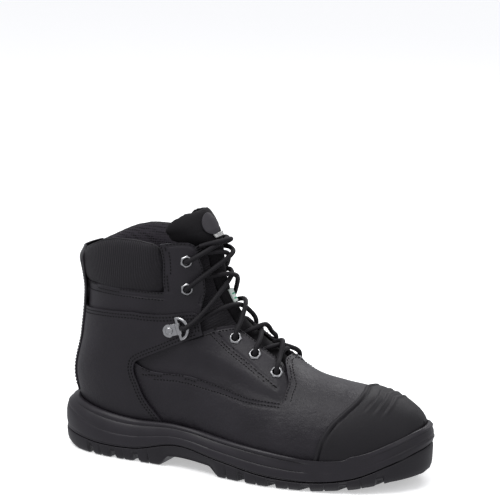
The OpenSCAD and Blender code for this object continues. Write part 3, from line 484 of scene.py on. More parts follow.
def woven_material(name, dark, light, pitch, attribute="place", roughness=0.66, height=0.34, sheen=0.02):
    """Ballistic weave: a twill of raised yarns that step sideways from row to row."""
    n = Nodes(name, dark, roughness, specular=0.28)
    n.shader.inputs["Sheen Weight"].default_value = sheen
    place = n.coordinates(attribute)
    split = n.add("ShaderNodeSeparateXYZ")
    n.link(place, split)
    a = n.math("ADD", split, split, out_a=0, out_b=1)
    b = n.math("SUBTRACT", split, split, out_a=0, out_b=1)
    wale = n.math("SINE", n.math("MULTIPLY", a, value=2 * math.pi / pitch))
    cross = n.math("SINE", n.math("MULTIPLY", b, value=2 * math.pi / (pitch * 0.55)))
    both = n.math("ADD", wale, n.math("MULTIPLY", cross, value=0.45))
    yarn = n.ramp(both, 0, 1, (-1.2, 1.2))
    n.tint(yarn, dark, light)
    n.bump(yarn, height, 0.9)
    n.bump(n.noise(place, 0.5, 2), 0.25, 0.4)
    return n.material


def knit_material(name, dark, light, hole=1.9, roughness=0.8):
    """Spacer mesh: small open cells between soft yarns."""
    n = Nodes(name, dark, roughness, specular=0.22)
    n.shader.inputs["Sheen Weight"].default_value = 0.03
    place = n.coordinates()
    cells = n.add("ShaderNodeTexVoronoi", feature="F1", Scale=1 / hole)
    cells.inputs["Randomness"].default_value = 0.25
    n.link(place, cells)
    yarn = n.ramp(cells, 0, 1, (0.12, 0.55))
    n.tint(yarn, dark, light)
    n.bump(yarn, 0.4, 0.9)
    n.bump(n.noise(place, 0.25, 3), 0.3, 0.4)
    return n.material


def moulded_material(name, base, roughness, grain=1.2, height=0.05):
    """Moulded sole material: slight orange peel, dull patches and a satin shine."""
    n = Nodes(name, base, roughness, specular=0.34)
    place = n.coordinates()
    broad = n.noise(place, 0.05, 3)
    n.tint(n.ramp(broad, 0, 1), tuple(c * 0.9 for c in base), tuple(c * 1.15 for c in base))
    n.roughness(n.ramp(broad, roughness - 0.06, roughness + 0.08))
    n.bump(n.noise(place, grain, 3, 0.6), height, 0.6)
    return n.material


def metal_material(name, base, roughness, scratch=0.02):
    n = Nodes(name, base, roughness, metallic=1.0)
    place = n.coordinates()
    patches = n.noise(place, 0.7, 4, 0.6)
    n.tint(n.ramp(patches, 0, 1), tuple(c * 0.75 for c in base), base)
    n.roughness(n.ramp(patches, roughness - 0.07, roughness + 0.12))
    n.bump(n.noise(place, 2.4, 3, 0.7), scratch, 0.6)
    return n.material


def fibre_material(name, dark, light, pitch=0.9, roughness=0.7):
    """Sewing thread, lace and felt: fine fibres with light tips."""
    n = Nodes(name, dark, roughness, specular=0.22)
    n.shader.inputs["Sheen Weight"].default_value = 0.03
    place = n.coordinates()
    fibres = n.noise(place, 1 / pitch, 4, 0.7)
    n.tint(n.ramp(fibres, 0, 1), dark, light)
    n.bump(fibres, 0.12, 0.7)
    return n.material


upper_leather = leather_material("upper_leather", grey(0.0140), 0.42)
vamp_leather = leather_material("vamp_leather", grey(0.0140), 0.41, 0.10, 0.42)
guard_leather = leather_material("toe_guard_leather", grey(0.0080), 0.56, 0.06, 0.08)
edge_leather = leather_material("back_strip_leather", grey(0.0085), 0.42)
collar_weave = woven_material("ballistic_weave", grey(0.0004), grey(0.021), 2.3)
gusset_weave = woven_material("gusset_weave", grey(0.005), grey(0.016), 1.1, None, 0.7, 0.1)
collar_mesh = knit_material("collar_mesh", grey(0.004), grey(0.024))
lining_mesh = knit_material("lining_mesh", grey(0.005), grey(0.024), 1.4)
tongue_knit = fibre_material("tongue_knit", grey(0.0025), grey(0.007), 0.7, 0.8)
lace_cord = fibre_material("lace_cord", grey(0.003), grey(0.012), 0.35, 0.66)
# Thread darker than the leather: real black thread plus painted shade of the needle holes
thread = fibre_material("sewing_thread_painted_shade", grey(0.0008), grey(0.005), 0.3, 0.85)
# Lighter leather for the bevelled cut edges: a painted highlight along each panel edge
cut_edge_painted_highlight = leather_material("cut_leather_edge_painted_highlight", grey(0.022), 0.6)
midsole_moulding = moulded_material("midsole_moulding", grey(0.0155), 0.40)
outsole_rubber = moulded_material("outsole_rubber", grey(0.0120), 0.46, 1.6, 0.07)
bright_metal = metal_material("nickel_plate", (0.43, 0.43, 0.44), 0.25)
cap_steel = metal_material("cap_steel", (0.40, 0.41, 0.42), 0.38)
board_fibre = fibre_material("insole_board_fibre", (0.16, 0.12, 0.075), (0.26, 0.20, 0.13), 1.6, 0.85)
foam_rubber = moulded_material("foam_rubber", (0.30, 0.28, 0.22), 0.8, 2.2, 0.2)
counter_board = fibre_material("counter_board", (0.22, 0.22, 0.20), (0.34, 0.34, 0.31), 1.8, 0.8)


# ---------------------------------------------------------------- leather panels

class Seam:
    """A row of stitches: a path on the boot surface, moved sideways by some millimetres."""

    def __init__(self, path, offset, side, start=0.0, end=1.0, height=0.0):
        path = np.asarray(path, float) * [1, side]
        at = curve(path, np.linspace(start, end, 160))
        points = skin(at[:, 0], at[:, 1], height)
        normals = outward(at[:, 0], at[:, 1])
        tangents = unit(np.gradient(points, axis=0))
        self.points = points - offset * side * np.cross(normals, tangents)
        self.normals = normals


def point_tree(points):
    tree = KDTree(len(points))
    for i, p in enumerate(points):
        tree.insert(p, i)
    tree.balance()
    return tree


def distance_to(points, places):
    """Distance of each place of a grid from the nearest of some points."""
    tree = point_tree(points)
    return np.array([tree.find(p)[2] for p in places.reshape(-1, 3)]).reshape(places.shape[:-1])


def press_rows(points, heights, seams, depth=0.6, width=1.05):
    """Lowers a grid of heights in a soft groove along each row of stitches."""
    if not seams:
        return heights
    distance = distance_to(np.concatenate([s.points for s in seams]), points)
    return heights - depth * np.exp(-(distance / width) ** 2)


def holes(obj, places, diameter):
    """Cuts round holes through a panel, each on the line that stands off the surface."""
    cutters = []
    for u, v in places:
        rings = to_skin(revolve([(diameter / 2, -7), (diameter / 2, 7)], 32), frame_on_skin(u, v))
        cutter = make_object("cutter", rings.reshape(-1, 3), ring_faces(2, 32))
        cutters.append(cutter)
    for cutter in cutters:
        modifier = obj.modifiers.new("hole", "BOOLEAN")
        modifier.operation = "DIFFERENCE"
        modifier.solver = "EXACT"
        modifier.object = cutter
    apply_modifiers(obj)
    for cutter in cutters:
        bpy.data.meshes.remove(cutter.data)
    obj.data.shade_smooth()


def apply_modifiers(obj):
    graph = bpy.context.evaluated_depsgraph_get()
    mesh = bpy.data.meshes.new_from_object(obj.evaluated_get(graph), depsgraph=graph)
    obj.modifiers.clear()
    old = obj.data
    obj.data = mesh
    bpy.data.meshes.remove(old)


def panel(name, places, height, side, material, slot, nodes=(), seams=(), keep=None, hole_places=(),
          hole_diameter=6.4, edge=0.5, body=BOOT, thickness=leather):
    """Leather laid on the boot surface, with soft grooves under its stitch rows."""
    u, v = places[..., 0], places[..., 1]
    heights = np.broadcast_to(np.asarray(height, float), u.shape).copy()
    base = skin(u, v, heights)
    shaped = press_rows(base, heights, seams)
    outer = skin(u, v, shaped)
    inner = skin(u, v, heights - thickness)
    obj = sheet(name, outer, inner, keep) if side < 0 else sheet(name, inner, outer, keep)
    if len(hole_places):
        holes(obj, hole_places, hole_diameter)
    # The bevel gives the edges the lighter edge leather, a painted highlight
    bevel(obj, edge, cut=True)
    dress(obj, [material, cut_edge_painted_highlight], body, slot, *nodes)
    if seams:
        stitches(name + "_stitching", seams, obj, body)
    return obj


def capsule_rings(length, thickness, rings=5, sides=6, sink=0.5):
    """A stitch: a short bead whose ends dive into the leather."""
    points = []
    for k in range(rings):
        s = -1 + 2 * k / (rings - 1)
        radius = thickness / 2 * max(math.sqrt(max(1 - abs(s) ** 3, 0)), 0.25)
        angles = np.linspace(0, 2 * np.pi, sides, endpoint=False)
        height = thickness * (0.32 - sink * abs(s) ** 2.5)
        points.append(np.stack([np.full(sides, s * length / 2), radius * np.cos(angles),
                                height + radius * np.sin(angles) * 0.9], -1))
    return np.concatenate(points)


def piece_tree(obj):
    """Search tree over the faces of a piece, in millimetres."""
    bm = bmesh.new()
    bm.from_mesh(obj.data)
    bm.transform(Matrix.Scale(1 / MM, 4))
    tree = BVHTree.FromBMesh(bm)
    bm.free()
    return tree


def stitches(name, seams, cloth, body, pitch=2.7, length=2.15, thickness=0.78):
    """One mesh of stitches laid on the face of a panel along its rows."""
    bead = capsule_rings(length, thickness)
    bead_faces = ring_faces(5, 6)
    tree = piece_tree(cloth)
    points, faces = [], []
    for seam in seams:
        steps = np.linalg.norm(np.diff(seam.points, axis=0), axis=1)
        run = np.concatenate([[0], np.cumsum(steps)])
        at = np.arange(pitch / 2, run[-1], pitch)
        spots = np.stack([np.interp(at, run, seam.points[:, k]) for k in range(3)], -1)
        normals = unit(np.stack([np.interp(at, run, seam.normals[:, k]) for k in range(3)], -1))
        ahead = unit(np.gradient(spots, axis=0)) if len(spots) > 1 else spots
        for spot, normal, tangent in zip(spots, normals, ahead):
            hit = tree.find_nearest(spot + 5 * normal)
            if hit[0] is None or np.dot(np.array(hit[1]), normal) < 0.5:
                continue
            n = np.array(hit[1])
            t = unit(tangent - np.dot(tangent, n) * n)
            first = len(points) * len(bead)
            points.append(to_skin(bead, (np.array(hit[0]), t, np.cross(n, t), n)))
            faces.extend(tuple(first + i for i in f) for f in bead_faces)
    # The stitches take the thread darkened with painted shade of the needle holes
    obj = make_object(name, np.concatenate(points), faces)
    return dress(obj, thread, body, "lace_cord")


def place_grid(low, high, front, back, rows, columns, side):
    s, t = grid(rows, columns)
    p = patch(low, high, front, back, s, t)
    v = np.minimum(abs(p[..., 1]), tuck(p[..., 0]))
    return np.stack([p[..., 0], side * v], -1)


wing_top = np.array([.27, .34, .375, .41, .47])
throat = np.array([6.9, 6.88, 6.6, 6.35, 6.28, 6.2])
throat_section = 6.2
wing_back = np.array([10.65, 10.3, 9.9, 9.45, 9.1])
guard_edge = np.array([4.1, 4.02, 4.08, 4.3, 4.58, 4.75, 4.82, 4.85])
facing_low = [[6.05, .315], [7, .37], [8, .41], [9, .445], [10, .5], [10.75, .54]]
facing_high = [[6.9, .085], [7.3, .10], [7.8, .107], [8.3, .112], [8.75, .12], [9.1, .135]]
facing_front = [[6.05, .315], [6, .25], [6.1, .17], [6.5, .11], [6.9, .085]]
facing_back = [[10.75, .54], [10.6, .45], [10.2, .35], [9.85, .29], [9.5, .215], [9.1, .135]]
quarter_front = [[8.75, .7], [9, .63], [9.5, .56], [9.95, .51], [10.36, .49], [10.4, .46],
                 [10.05, .36], [9.6, .265]]
quarter_top = [[9.6, .265], [10.1, .24], [10.45, .255], [11, .35], [11.5, .43], [11.95, .52],
               [12.45, .72], [12.75, .985]]
band_low = [[9.95, .262], [10.15, .3], [10.6, .4], [11.1, .46], [11.55, .54], [12.1, .74], [12.35, .985]]
band_high = [[11.3, .18], [11.6, .27], [11.85, .36], [12.15, .42], [12.6, .53], [13.1, .74],
             [13.3, .985]]
eyestay_front = [[9.95, .262], [10.3, .225], [10.8, .185], [11.3, .18]]
eyestay_rise = [[11.3, .18], [12, .19], [12.6, .21], [13.2, .222], [13.5, .25]]
eyestay_top = [[13.5, .25], [13.68, .31], [13.78, .38]]
eyestay_rear = [[11.85, .36], [12.5, .375], [13.2, .38], [13.78, .38]]
lower_eyelets = np.array([[6.85, .168], [7.85, .17], [8.75, .175]])
upper_eyelets = np.array([[11.4, .262], [12.65, .272]])
clip_rivet = np.array([10.47, .345])
clip_turn = 25
quarter_start = 8.75


def guard_back(share):
    """Section of the guard's rear edge at a share of the way from the ridge to its low end."""
    return curve(guard_edge, abs(np.asarray(share, float)))


def wing_share(u):
    return smooth(wing_top, np.clip((u - throat_section) / 1, -0.2, 4.4))


def toe_guard():
    """Guard over the steel cap, with a rolled rear edge and three ribs across the top."""
    rows, columns = 130, 110
    s, t = grid(rows, columns)
    t = 2 * t - 1
    back = guard_back(t)
    u = 0.05 + (back - 0.05) * s
    v = tuck(u) * t
    line = skin(back[:, -1], (tuck(back) * t)[:, -1])
    edge = distance_to(line, skin(u, v))
    height = np.full(u.shape, raised)
    height = height - 1.35 * np.exp(-((edge - 3.7) / 0.6) ** 2)
    height = height - 0.5 * step(1.2, 0, edge)
    height = height + 0.4 * np.exp(-((edge - 1.9) / 1.1) ** 2)
    for back_off in (11.0, 17.0, 23.0):
        reach = step(.24, .15, abs(v))
        height = height - 0.55 * reach * np.exp(-((edge - back_off) / 0.8) ** 2)
        height = height + 0.6 * reach * np.exp(-((edge - back_off - 2.0) / 1.3) ** 2)
    height = np.minimum(height, raised + 0.6)
    outer = skin(u, v, height)
    inner = skin(u, v, raised - leather)
    obj = sheet("toe_guard_shell", outer, inner)
    # The bevel gives the rear edge the lighter edge leather, a painted highlight
    bevel(obj, 0.5, cut=True)
    return dress(obj, [guard_leather, cut_edge_painted_highlight], BOOT, "leather_guard", "toe_guard")


def vamp():
    """Vamp with two long wings: it runs under the guard and wraps round the throat."""
    front_columns, back_columns, inner_rows, outer_rows = 26, 70, 30, 44
    rows = inner_rows + outer_rows
    j = np.arange(-rows, rows + 1)
    a = abs(j)
    inside = a <= inner_rows
    q = np.where(inside, a / inner_rows, (a - inner_rows) / outer_rows)[:, None]
    front = guard_back(a / rows)[:, None] - 0.35
    edge = np.where(inside, curve(throat, q[:, 0]), throat_section)[:, None]
    back = np.where(inside, 10.65, curve(wing_back, q[:, 0]))[:, None]
    i = np.arange(front_columns + back_columns + 1)[None, :]
    ahead = front + (edge - front) * np.minimum(i / front_columns, 1)
    behind = edge + (back - edge) * (i - front_columns) / back_columns
    u = np.where(i <= front_columns, ahead, behind)
    wing = wing_share(u)
    v = np.where(inside[:, None], q * wing, wing + q * (tuck(u) - wing))
    side = np.where(j < 0, -1, 1)[:, None]
    keep = np.zeros((2 * rows, front_columns + back_columns), bool)
    keep[:, :front_columns] = True
    keep[:rows - inner_rows, :] = True
    keep[rows + inner_rows:, :] = True
    seams = []
    wing_u = np.linspace(6.2, 10.2, 12)
    wing_path = np.stack([wing_u, wing_share(wing_u)], -1)
    q_throat = np.linspace(0, 1, 10)
    throat_path = np.stack([curve(throat, q_throat), q_throat * wing_share(6.2)], -1)
    for s in SIDES.values():
        for offset in (1.9, 4.4):
            seams.append(Seam(wing_path, offset, s, 0.02))
            seams.append(Seam(throat_path[::-1], -offset, s, 0.05, 0.97))
    places = np.stack([u, side * v], -1)
    return panel("vamp_leather", places, level_leather, -1, vamp_leather, "leather", ["vamp"], seams, keep)


def facing(label, side):
    seams = [Seam(facing_high, 2.0, side, 0.0, 1.0), Seam(facing_front[::-1], -2.0, side, 0.0, 0.5),
             Seam(facing_back[::-1], 2.0, side, 0.0, 0.75)]
    seams += [Seam([[9.55, .235], [8.6, .238], [7.6, .235], [6.6, .235]], k, side) for k in (0, 2.5)]
    rows, columns = 56, 90
    s, t = grid(rows, columns)
    under = step(0.42, 0.22, t)
    front = step(0.16, 0.02, s)
    height = level_leather + (level_under - level_leather) * np.maximum(under, front)
    places = place_grid(facing_low, facing_high, facing_front, facing_back, rows, columns, side)
    spots = lower_eyelets * [1, side]
    return panel("facing_" + label + "_leather", places, height, side, upper_leather, "leather",
                 ["facing_" + label], seams, None, spots)


def heel_section(rows, add, low=9.5, high=11.5):
    for _ in range(18):
        middle = (low + high) / 2
        if meets(np.array(middle), rows, add) >= 1:
            high = middle
        else:
            low = middle
    return (low + high) / 2


heel_u = heel_section(floor_heights, edge_rise)


def heel_run(count, start, last):
    k = np.arange(count + 1) / count
    u = start + (heel_u - start) * (1 - (1 - k) ** 2.2)
    u[-1] = heel_u + 0.02
    return np.stack([u, np.minimum(tuck(u), last)], -1)


def rear_quarter(label, side):
    low = heel_run(8, quarter_start, .985)
    front = np.concatenate([low[:1], quarter_front[1:]])
    back = [low[-1], [11.3, .985], [12, .985], [12.75, .985]]
    places = place_grid(low, quarter_top, front, back, 84, 104, side)
    seams = [Seam(quarter_front, k, side, 0.06, 0.97) for k in (2.1, 4.6)]
    seams += [Seam(quarter_top, k, side, 0.03, 0.97) for k in (2.1, 4.6)]
    return panel("rear_quarter_" + label + "_leather", places, raised, side, upper_leather, "leather",
                 ["rear_quarter_" + label], seams, None, [clip_rivet * [1, side]], 3.6)


def ankle_band(label, side):
    columns, eye_columns, band_rows, eye_rows = 96, 32, 46, 60
    eye_low = [[11.3, .18], [11.6, .27], [11.85, .36]]
    s, t = grid(band_rows, columns)
    lower = patch(band_low, band_high, eyestay_front, [[12.35, .985], [12.85, .985], [13.3, .985]], s, t)
    s, t = grid(eye_rows, eye_columns)
    tall = patch(eye_low, eyestay_top, eyestay_rise, eyestay_rear, s, t)
    upper = np.repeat(lower[-1:], eye_rows, axis=0)
    upper[:, :eye_columns + 1] = tall[1:]
    places = np.concatenate([lower, upper]) * [1, side]
    keep = np.ones((band_rows + eye_rows, columns), bool)
    keep[band_rows:, eye_columns:] = False
    seams = [Seam(band_high, k, side, 0.35, 0.98) for k in (2.1, 4.6)]
    seams += [Seam(eyestay_rise, 2.1, side, 0.0, 0.96), Seam(eyestay_front, 2.1, side, 0.45, 1.0),
              Seam(eyestay_top, 2.1, side, 0.1, 0.85)]
    seams += [Seam(eyestay_rear[::-1], k, side, 0.04, 1) for k in (2.1, 4.6)]
    spots = upper_eyelets * [1, side]
    return panel("ankle_band_" + label + "_leather", places, level_leather, side, upper_leather, "leather",
                 ["ankle_band_" + label], seams, keep, spots)


strip_end = 14.08


def strip_swell(u):
    """1 where the strip widens to the pull at its top."""
    return step(13.15, 13.75, u) * (1 - step(13.8, 14.1, u) * 0.45)


def strip_half(u, start):
    return 0.118 + 0.02 * (u - start) / (strip_end - start) + 0.035 * strip_swell(u)


def back_strip():
    """Narrow strip over the back seam, ending in a rounded pull at the collar."""
    start = heel_section(rim_heights, 1.2)
    rows, columns = 150, 26
    s, t = grid(rows, columns)
    u = start + (strip_end - start) * t
    half = strip_half(u, start)
    w = 1 - half + 2 * half * s
    v = np.where(w <= 1, -w, 2 - w)
    across = abs(2 * s - 1)
    height = strip_level - 0.5 * across ** 4
    top = step(12.7, 13.2, u)
    height = height + top * (3.4 - strip_level)
    height = height + 0.6 * strip_swell(u) * (1 - across ** 2)
    height = height - 5.2 * step(13.62, strip_end, u) ** 2
    places = np.stack([u, v], -1)
    line = np.linspace(start + 0.1, 13.7, 40)
    seams = []
    for edge in (-1, 1):
        w_line = 1 + edge * (strip_half(line, start) - 0.028)
        seam = Seam(np.stack([line, np.where(w_line <= 1, w_line, 2 - w_line)], -1), 0,
                    -1 if edge < 0 else 1)
        seams.append(seam)
    return panel("back_strip_leather", places, height, -1, edge_leather, "leather", ["back_strip"], seams,
                 None, (), edge=0.4, thickness=0.8 * leather)


toe_guard()
vamp()
for label, side in SIDES.items():
    facing(label, side)
    rear_quarter(label, side)
    ankle_band(label, side)
back_strip()


# ---------------------------------------------------------------- collar, tongue and gussets

def remesh(obj, voxel):
    modifier = obj.modifiers.new("remesh", "REMESH")
    modifier.mode = "VOXEL"
    modifier.voxel_size = voxel * MM
    apply_modifiers(obj)


def vertex_places(obj):
    return np.array([v.co for v in obj.data.vertices])


def vertex_normals(obj):
    return np.array([v.normal for v in obj.data.vertices])


def move_vertices(obj, places):
    obj.data.vertices.foreach_set("co", places.ravel())
    obj.data.update()


def soften(obj, voxel, cap, pressure=4.0):
    """Remeshes a pad and lets it swell as cloth under a little pressure, then evens its points."""
    remesh(obj, voxel)
    before = vertex_places(obj)
    cloth = obj.modifiers.new("cloth", "CLOTH")
    cloth.settings.quality = 4
    cloth.settings.mass = 0.2
    cloth.settings.tension_stiffness = 12
    cloth.settings.compression_stiffness = 12
    cloth.settings.bending_stiffness = 1.5
    cloth.settings.use_pressure = True
    cloth.settings.uniform_pressure_force = pressure
    cloth.settings.effector_weights.gravity = 0
    cloth.collision_settings.use_collision = False
    for number in range(1, 21):
        bpy.context.scene.frame_set(number)
    apply_modifiers(obj)
    bpy.context.scene.frame_set(1)
    move = vertex_places(obj) - before
    length = np.linalg.norm(move, axis=1, keepdims=True)
    limit = cap * MM
    soft = limit * np.tanh(length / limit)
    move_vertices(obj, before + move * soft / np.maximum(length, 1e-9))
    smooth_points(obj, 4)
    obj.data.shade_smooth()
    return obj


def smooth_points(obj, rounds):
    modifier = obj.modifiers.new("even", "CORRECTIVE_SMOOTH")
    modifier.iterations = rounds
    modifier.use_only_smooth = True
    apply_modifiers(obj)


def subdivide(obj, levels=1):
    modifier = obj.modifiers.new("rounding", "SUBSURF")
    modifier.levels = levels
    modifier.render_levels = levels
    apply_modifiers(obj)
    obj.data.shade_smooth()


def loft(name, rings):
    """Closed body through equal closed rings of points, capped at both ends."""
    count, sides = rings.shape[:2]
    return make_object(name, rings.reshape(-1, 3), ring_faces(count, sides))


def nearest_values(obj, points, values):
    """For each vertex of a piece, the value stored at the nearest reference points."""
    tree = point_tree(points)
    result = []
    for vertex in obj.data.vertices:
        found = tree.find_n(vertex.co / MM, 3)
        weights = np.array([1 / (f[2] + 0.05) ** 2 for f in found])
        result.append(weights @ values[[f[1] for f in found]] / weights.sum())
    return np.array(result)


def store(obj, name, values):
    attribute = obj.data.attributes.new(name, "FLOAT_VECTOR", "POINT")
    attribute.data.foreach_set("vector", np.asarray(values, np.float32).ravel())


collar_foot = [[11.48, .35], [11.76, .43], [12.24, .54], [12.89, .74], [13.17, .985]]
collar_line = [[13.78, .385], [14.2, .47], [14.5, .60], [14.2, .76], [14.02, .88], [14, .985]]
# Loop round the pad: share of the way up from the foot to the top line, height off the surface
pad_outer = [[.10, -3.0], [.15, -2.7], [.19, -1.2], [.28, .2], [.42, 1.0], [.60, 1.3], [.76, .9],
             [.90, -.2], [.985, -2.0], [.985, -3.6], [.985, -5.2]]
pad_inner = [[.94, -7.2], [.82, -8.6], [.62, -9.0], [.42, -8.8], [.22, -7.4], [.10, -5.6]]
level_tuck = level_under - 0.3


def collar_place(s, f):
    a, b = curve(collar_foot, s), curve(collar_line, s)
    return a + f[..., None] * (b - a)


def collar(label, side):
    """Padded collar: ballistic weave outside, mesh inside, with a seam along the top."""
    loop = np.array(pad_outer + pad_inner)
    s = np.linspace(0, 1, 90)
    cap = np.where(s < .05, level_tuck, level_tuck + (s - .05) * 36)
    rings = []
    for share, highest in zip(s, cap):
        p = collar_place(np.full(len(loop), share), loop[:, 0])
        end = math.sin(math.pi * min(share * 6, 0.5))
        middle = -4.6
        height = middle + (loop[:, 1] - middle) * (0.45 + 0.55 * end)
        height = np.minimum(height, highest)
        rings.append(skin(p[:, 0], side * p[:, 1], height))
    obj = loft("collar_" + label + "_pad", np.array(rings))
    soften(obj, 2.4, 1.3)
    subdivide(obj)
    s_fine, f_fine = np.meshgrid(np.linspace(0, 1, 240), np.linspace(0.1, 1, 60), indexing="ij")
    p = collar_place(s_fine, f_fine)
    reference = []
    for rows, face in ((pad_outer[:-1], 0), (pad_inner[::-1], 1)):
        rows = np.array(rows)
        height = np.interp(f_fine, rows[:, 0], rows[:, 1])
        reference.append((skin(p[..., 0], side * p[..., 1], height), face))
    points = np.concatenate([r[0].reshape(-1, 3) for r in reference])
    faces = np.concatenate([np.full(s_fine.size, r[1]) for r in reference])
    around = np.tile((s_fine * 150).ravel(), 2)
    across = np.tile((f_fine * 34).ravel(), 2)
    values = nearest_values(obj, points, np.stack([around, across, faces], -1))
    store(obj, "place", values)
    dress(obj, [collar_weave, collar_mesh], BOOT, "collar_textile", "collar_" + label,
          "collar_foam_" + label)
    for polygon in obj.data.polygons:
        inside = np.mean([values[i][2] for i in polygon.vertices])
        polygon.material_index = 1 if inside > 0.5 else 0
    seam_share = np.linspace(0.06, 0.985, 120)
    spots = collar_place(seam_share, np.full(seam_share.shape, 0.985))
    line = skin(spots[:, 0], side * spots[:, 1], np.full(seam_share.shape, -2.7))
    tree = piece_tree(obj)
    line = smooth_line(np.array([np.array(tree.find_nearest(p)[0]) for p in line]), 3)
    piping = make_object("collar_" + label + "_piping", *tube_mesh(line, 1.5, 10))
    dress(piping, edge_leather, BOOT, "collar_textile")
    return obj


def smooth_line(line, rounds):
    for _ in range(rounds):
        line[1:-1] = (line[:-2] + 2 * line[1:-1] + line[2:]) / 4
    return line


def tube_mesh(line, diameter, sides, relief=None):
    """Points and faces of a round tube along a line, carried on without twist."""
    line = np.asarray(line, float)
    tangents = unit(np.gradient(line, axis=0))
    up = np.cross(tangents[0], [1.0, 0, 0])
    angles = np.linspace(0, 2 * np.pi, sides, endpoint=False)
    rings = []
    for i, (point, tangent) in enumerate(zip(line, tangents)):
        up = unit(up - np.dot(up, tangent) * tangent)
        other = np.cross(tangent, up)
        radius = np.full(sides, diameter / 2) if relief is None else diameter / 2 * relief(i, angles)
        a, b = (radius * np.cos(angles))[:, None], (radius * np.sin(angles))[:, None]
        rings.append(point + a * up + b * other)
    return np.concatenate(rings), ring_faces(len(line), sides)


tongue_start = 6.35
tongue_end = 15.0
tongue_crown = 13.9
tongue_bulge = [-1.9, -2.2, -3.6, -6.2, -7]


def tongue_half(u):
    """Half width of the tongue; near the top it spreads into wings inside the collar."""
    u = np.asarray(u, float)
    return .112 + .05 * np.clip((u - 9.5) / 3.5, 0, 1) + .2 * step(12.3, 13.9, u)


def tongue_height(u, q):
    top = np.where(u > 13.4, 1.5 * np.minimum(u - 13.4, 1) * (1 - abs(q)), 0)
    hidden = step(12.2, 12.9, u) * (1 - step(13.9, 14.3, u)) * step(0.45, 0.9, abs(q))
    return curve(tongue_bulge, abs(q)) + top - np.clip((7.3 - u) / 0.3, 0, 1) - 3.6 * hidden


def tongue_point(u, q, depth):
    """Point of the tongue at section u, share q of its half width, below its face."""
    u, q, depth = np.broadcast_arrays(*(np.asarray(a, float) for a in (u, q, depth)))
    over = np.maximum(u - tongue_crown, 0)
    shrink = np.maximum(1 - (over / 1.14) ** 2.8, 0.02) ** 0.5
    v = q * tongue_half(u)
    base = skin(np.minimum(u, tongue_crown), v * shrink, tongue_height(u, q) - depth)
    lean = np.stack([-9 * over - 1.1 * over ** 2, 0 * over, 14.62 * over], -1)
    return base + lean * z_scale


def tongue():
    """Padded tongue with a wide rounded top and sewn channels across it."""
    cross = []
    ahead = np.linspace(-0.97, 0.97, 15)
    for q in ahead:
        cross.append((q, 0.25 + 1.3 * abs(q) ** 6))
    for q in ahead[::-1]:
        cross.append((q, 5.2 - 1.3 * abs(q) ** 6))
    cross = np.array(cross)
    u = np.concatenate([np.linspace(tongue_start + .02, tongue_crown, 70),
                        np.linspace(tongue_crown + .05, tongue_end - .04, 22)])
    rings = []
    for section in u:
        thin = 0.72 if section < 8.8 else 0.72 + 0.28 * float(step(8.8, 9.6, section))
        depth = 2.6 + (cross[:, 1] - 2.6) * thin
        rings.append(tongue_point(section, cross[:, 0], depth))
    obj = loft("tongue_pad", np.array(rings))
    soften(obj, 1.9, 0.9, 3.0)
    channel_rows = np.arange(10.2, 14.2, 0.62)
    u_fine, q_fine = np.meshgrid(np.linspace(tongue_start, tongue_end, 260), np.linspace(-1, 1, 50),
                                 indexing="ij")
    points = tongue_point(u_fine, q_fine, 0.3).reshape(-1, 3)
    subdivide(obj)
    values = nearest_values(obj, points, np.stack([u_fine.ravel(), q_fine.ravel()], -1))
    normals = vertex_normals(obj)
    gap = np.min(abs(values[:, :1] - channel_rows[None, :]), axis=1) * 15
    outer_face = np.clip(normals @ np.array([0.5, 0, 0.8]), 0, 1)
    depth = 0.55 * np.exp(-(gap / 1.1) ** 2) * outer_face * step(1.0, 0.8, abs(values[:, 1]))
    move_vertices(obj, vertex_places(obj) - normals * depth[:, None] * MM)
    return dress(obj, tongue_knit, TONGUE, "tongue_leather", "tongue", "tongue_foam")


def on_tongue(name, u, q, half_u, half_q, lift, material, slot, node, oval, crown=0.25):
    """Thin piece sewn on the tongue, with a rounded rim and a slight crown."""
    rows, columns = 44, 44
    s, t = grid(rows, columns)
    a, b = 2 * s - 1, 2 * t - 1
    if oval:
        x, y = a * np.sqrt(1 - b * b / 2), b * np.sqrt(1 - a * a / 2)
    else:
        x, y = a, b
    rim = np.clip(1 - (x ** 2 + y ** 2), 0, 1) if oval else np.clip((1 - a ** 6) * (1 - b ** 6), 0, 1)
    top = lift + crown * np.sqrt(rim)
    outer = tongue_point(u + half_u * x, q + half_q * y, -top)
    inner = tongue_point(u + half_u * x, q + half_q * y, 1.2 - lift)
    obj = sheet(name, outer, inner)
    face = np.stack([x, y, 0 * x], -1).reshape(-1, 3)
    store(obj, "place", np.concatenate([face, face]))
    bevel(obj, 0.3)
    return dress(obj, material, TONGUE, slot, node)


def patch_material():
    """Moulded badge: a plain dark oval with a fine grain and no mark on it."""
    n = Nodes("badge_rubber", grey(0.018), 0.5)
    place = n.coordinates()
    n.bump(n.noise(place, 1.8, 3), 0.08, 0.5)
    return n.material


def woven_label_material(name, base, mark, bars):
    """Small woven label: a fine grain and plain bars inside a margin, instead of lettering."""
    n = Nodes(name, base, 0.7)
    split = n.add("ShaderNodeSeparateXYZ")
    source = n.add("ShaderNodeAttribute", attribute_name="place")
    n.link(source, split, 1)
    x, y = (n.math("MULTIPLY", split, value=1.0, out_a=k) for k in (0, 1))
    stripe = n.math("GREATER_THAN", n.math("SINE", n.math("MULTIPLY", x, value=bars)), value=0.55)
    inside = n.math("LESS_THAN", n.math("ABSOLUTE", y), value=0.72)
    short = n.math("LESS_THAN", n.math("ABSOLUTE", x), value=0.75)
    mask = n.math("MULTIPLY", n.math("MULTIPLY", stripe, inside), short)
    n.tint(mask, base, mark)
    place = n.coordinates()
    n.bump(n.noise(place, 2.6, 2), 0.15, 0.6)
    return n.material


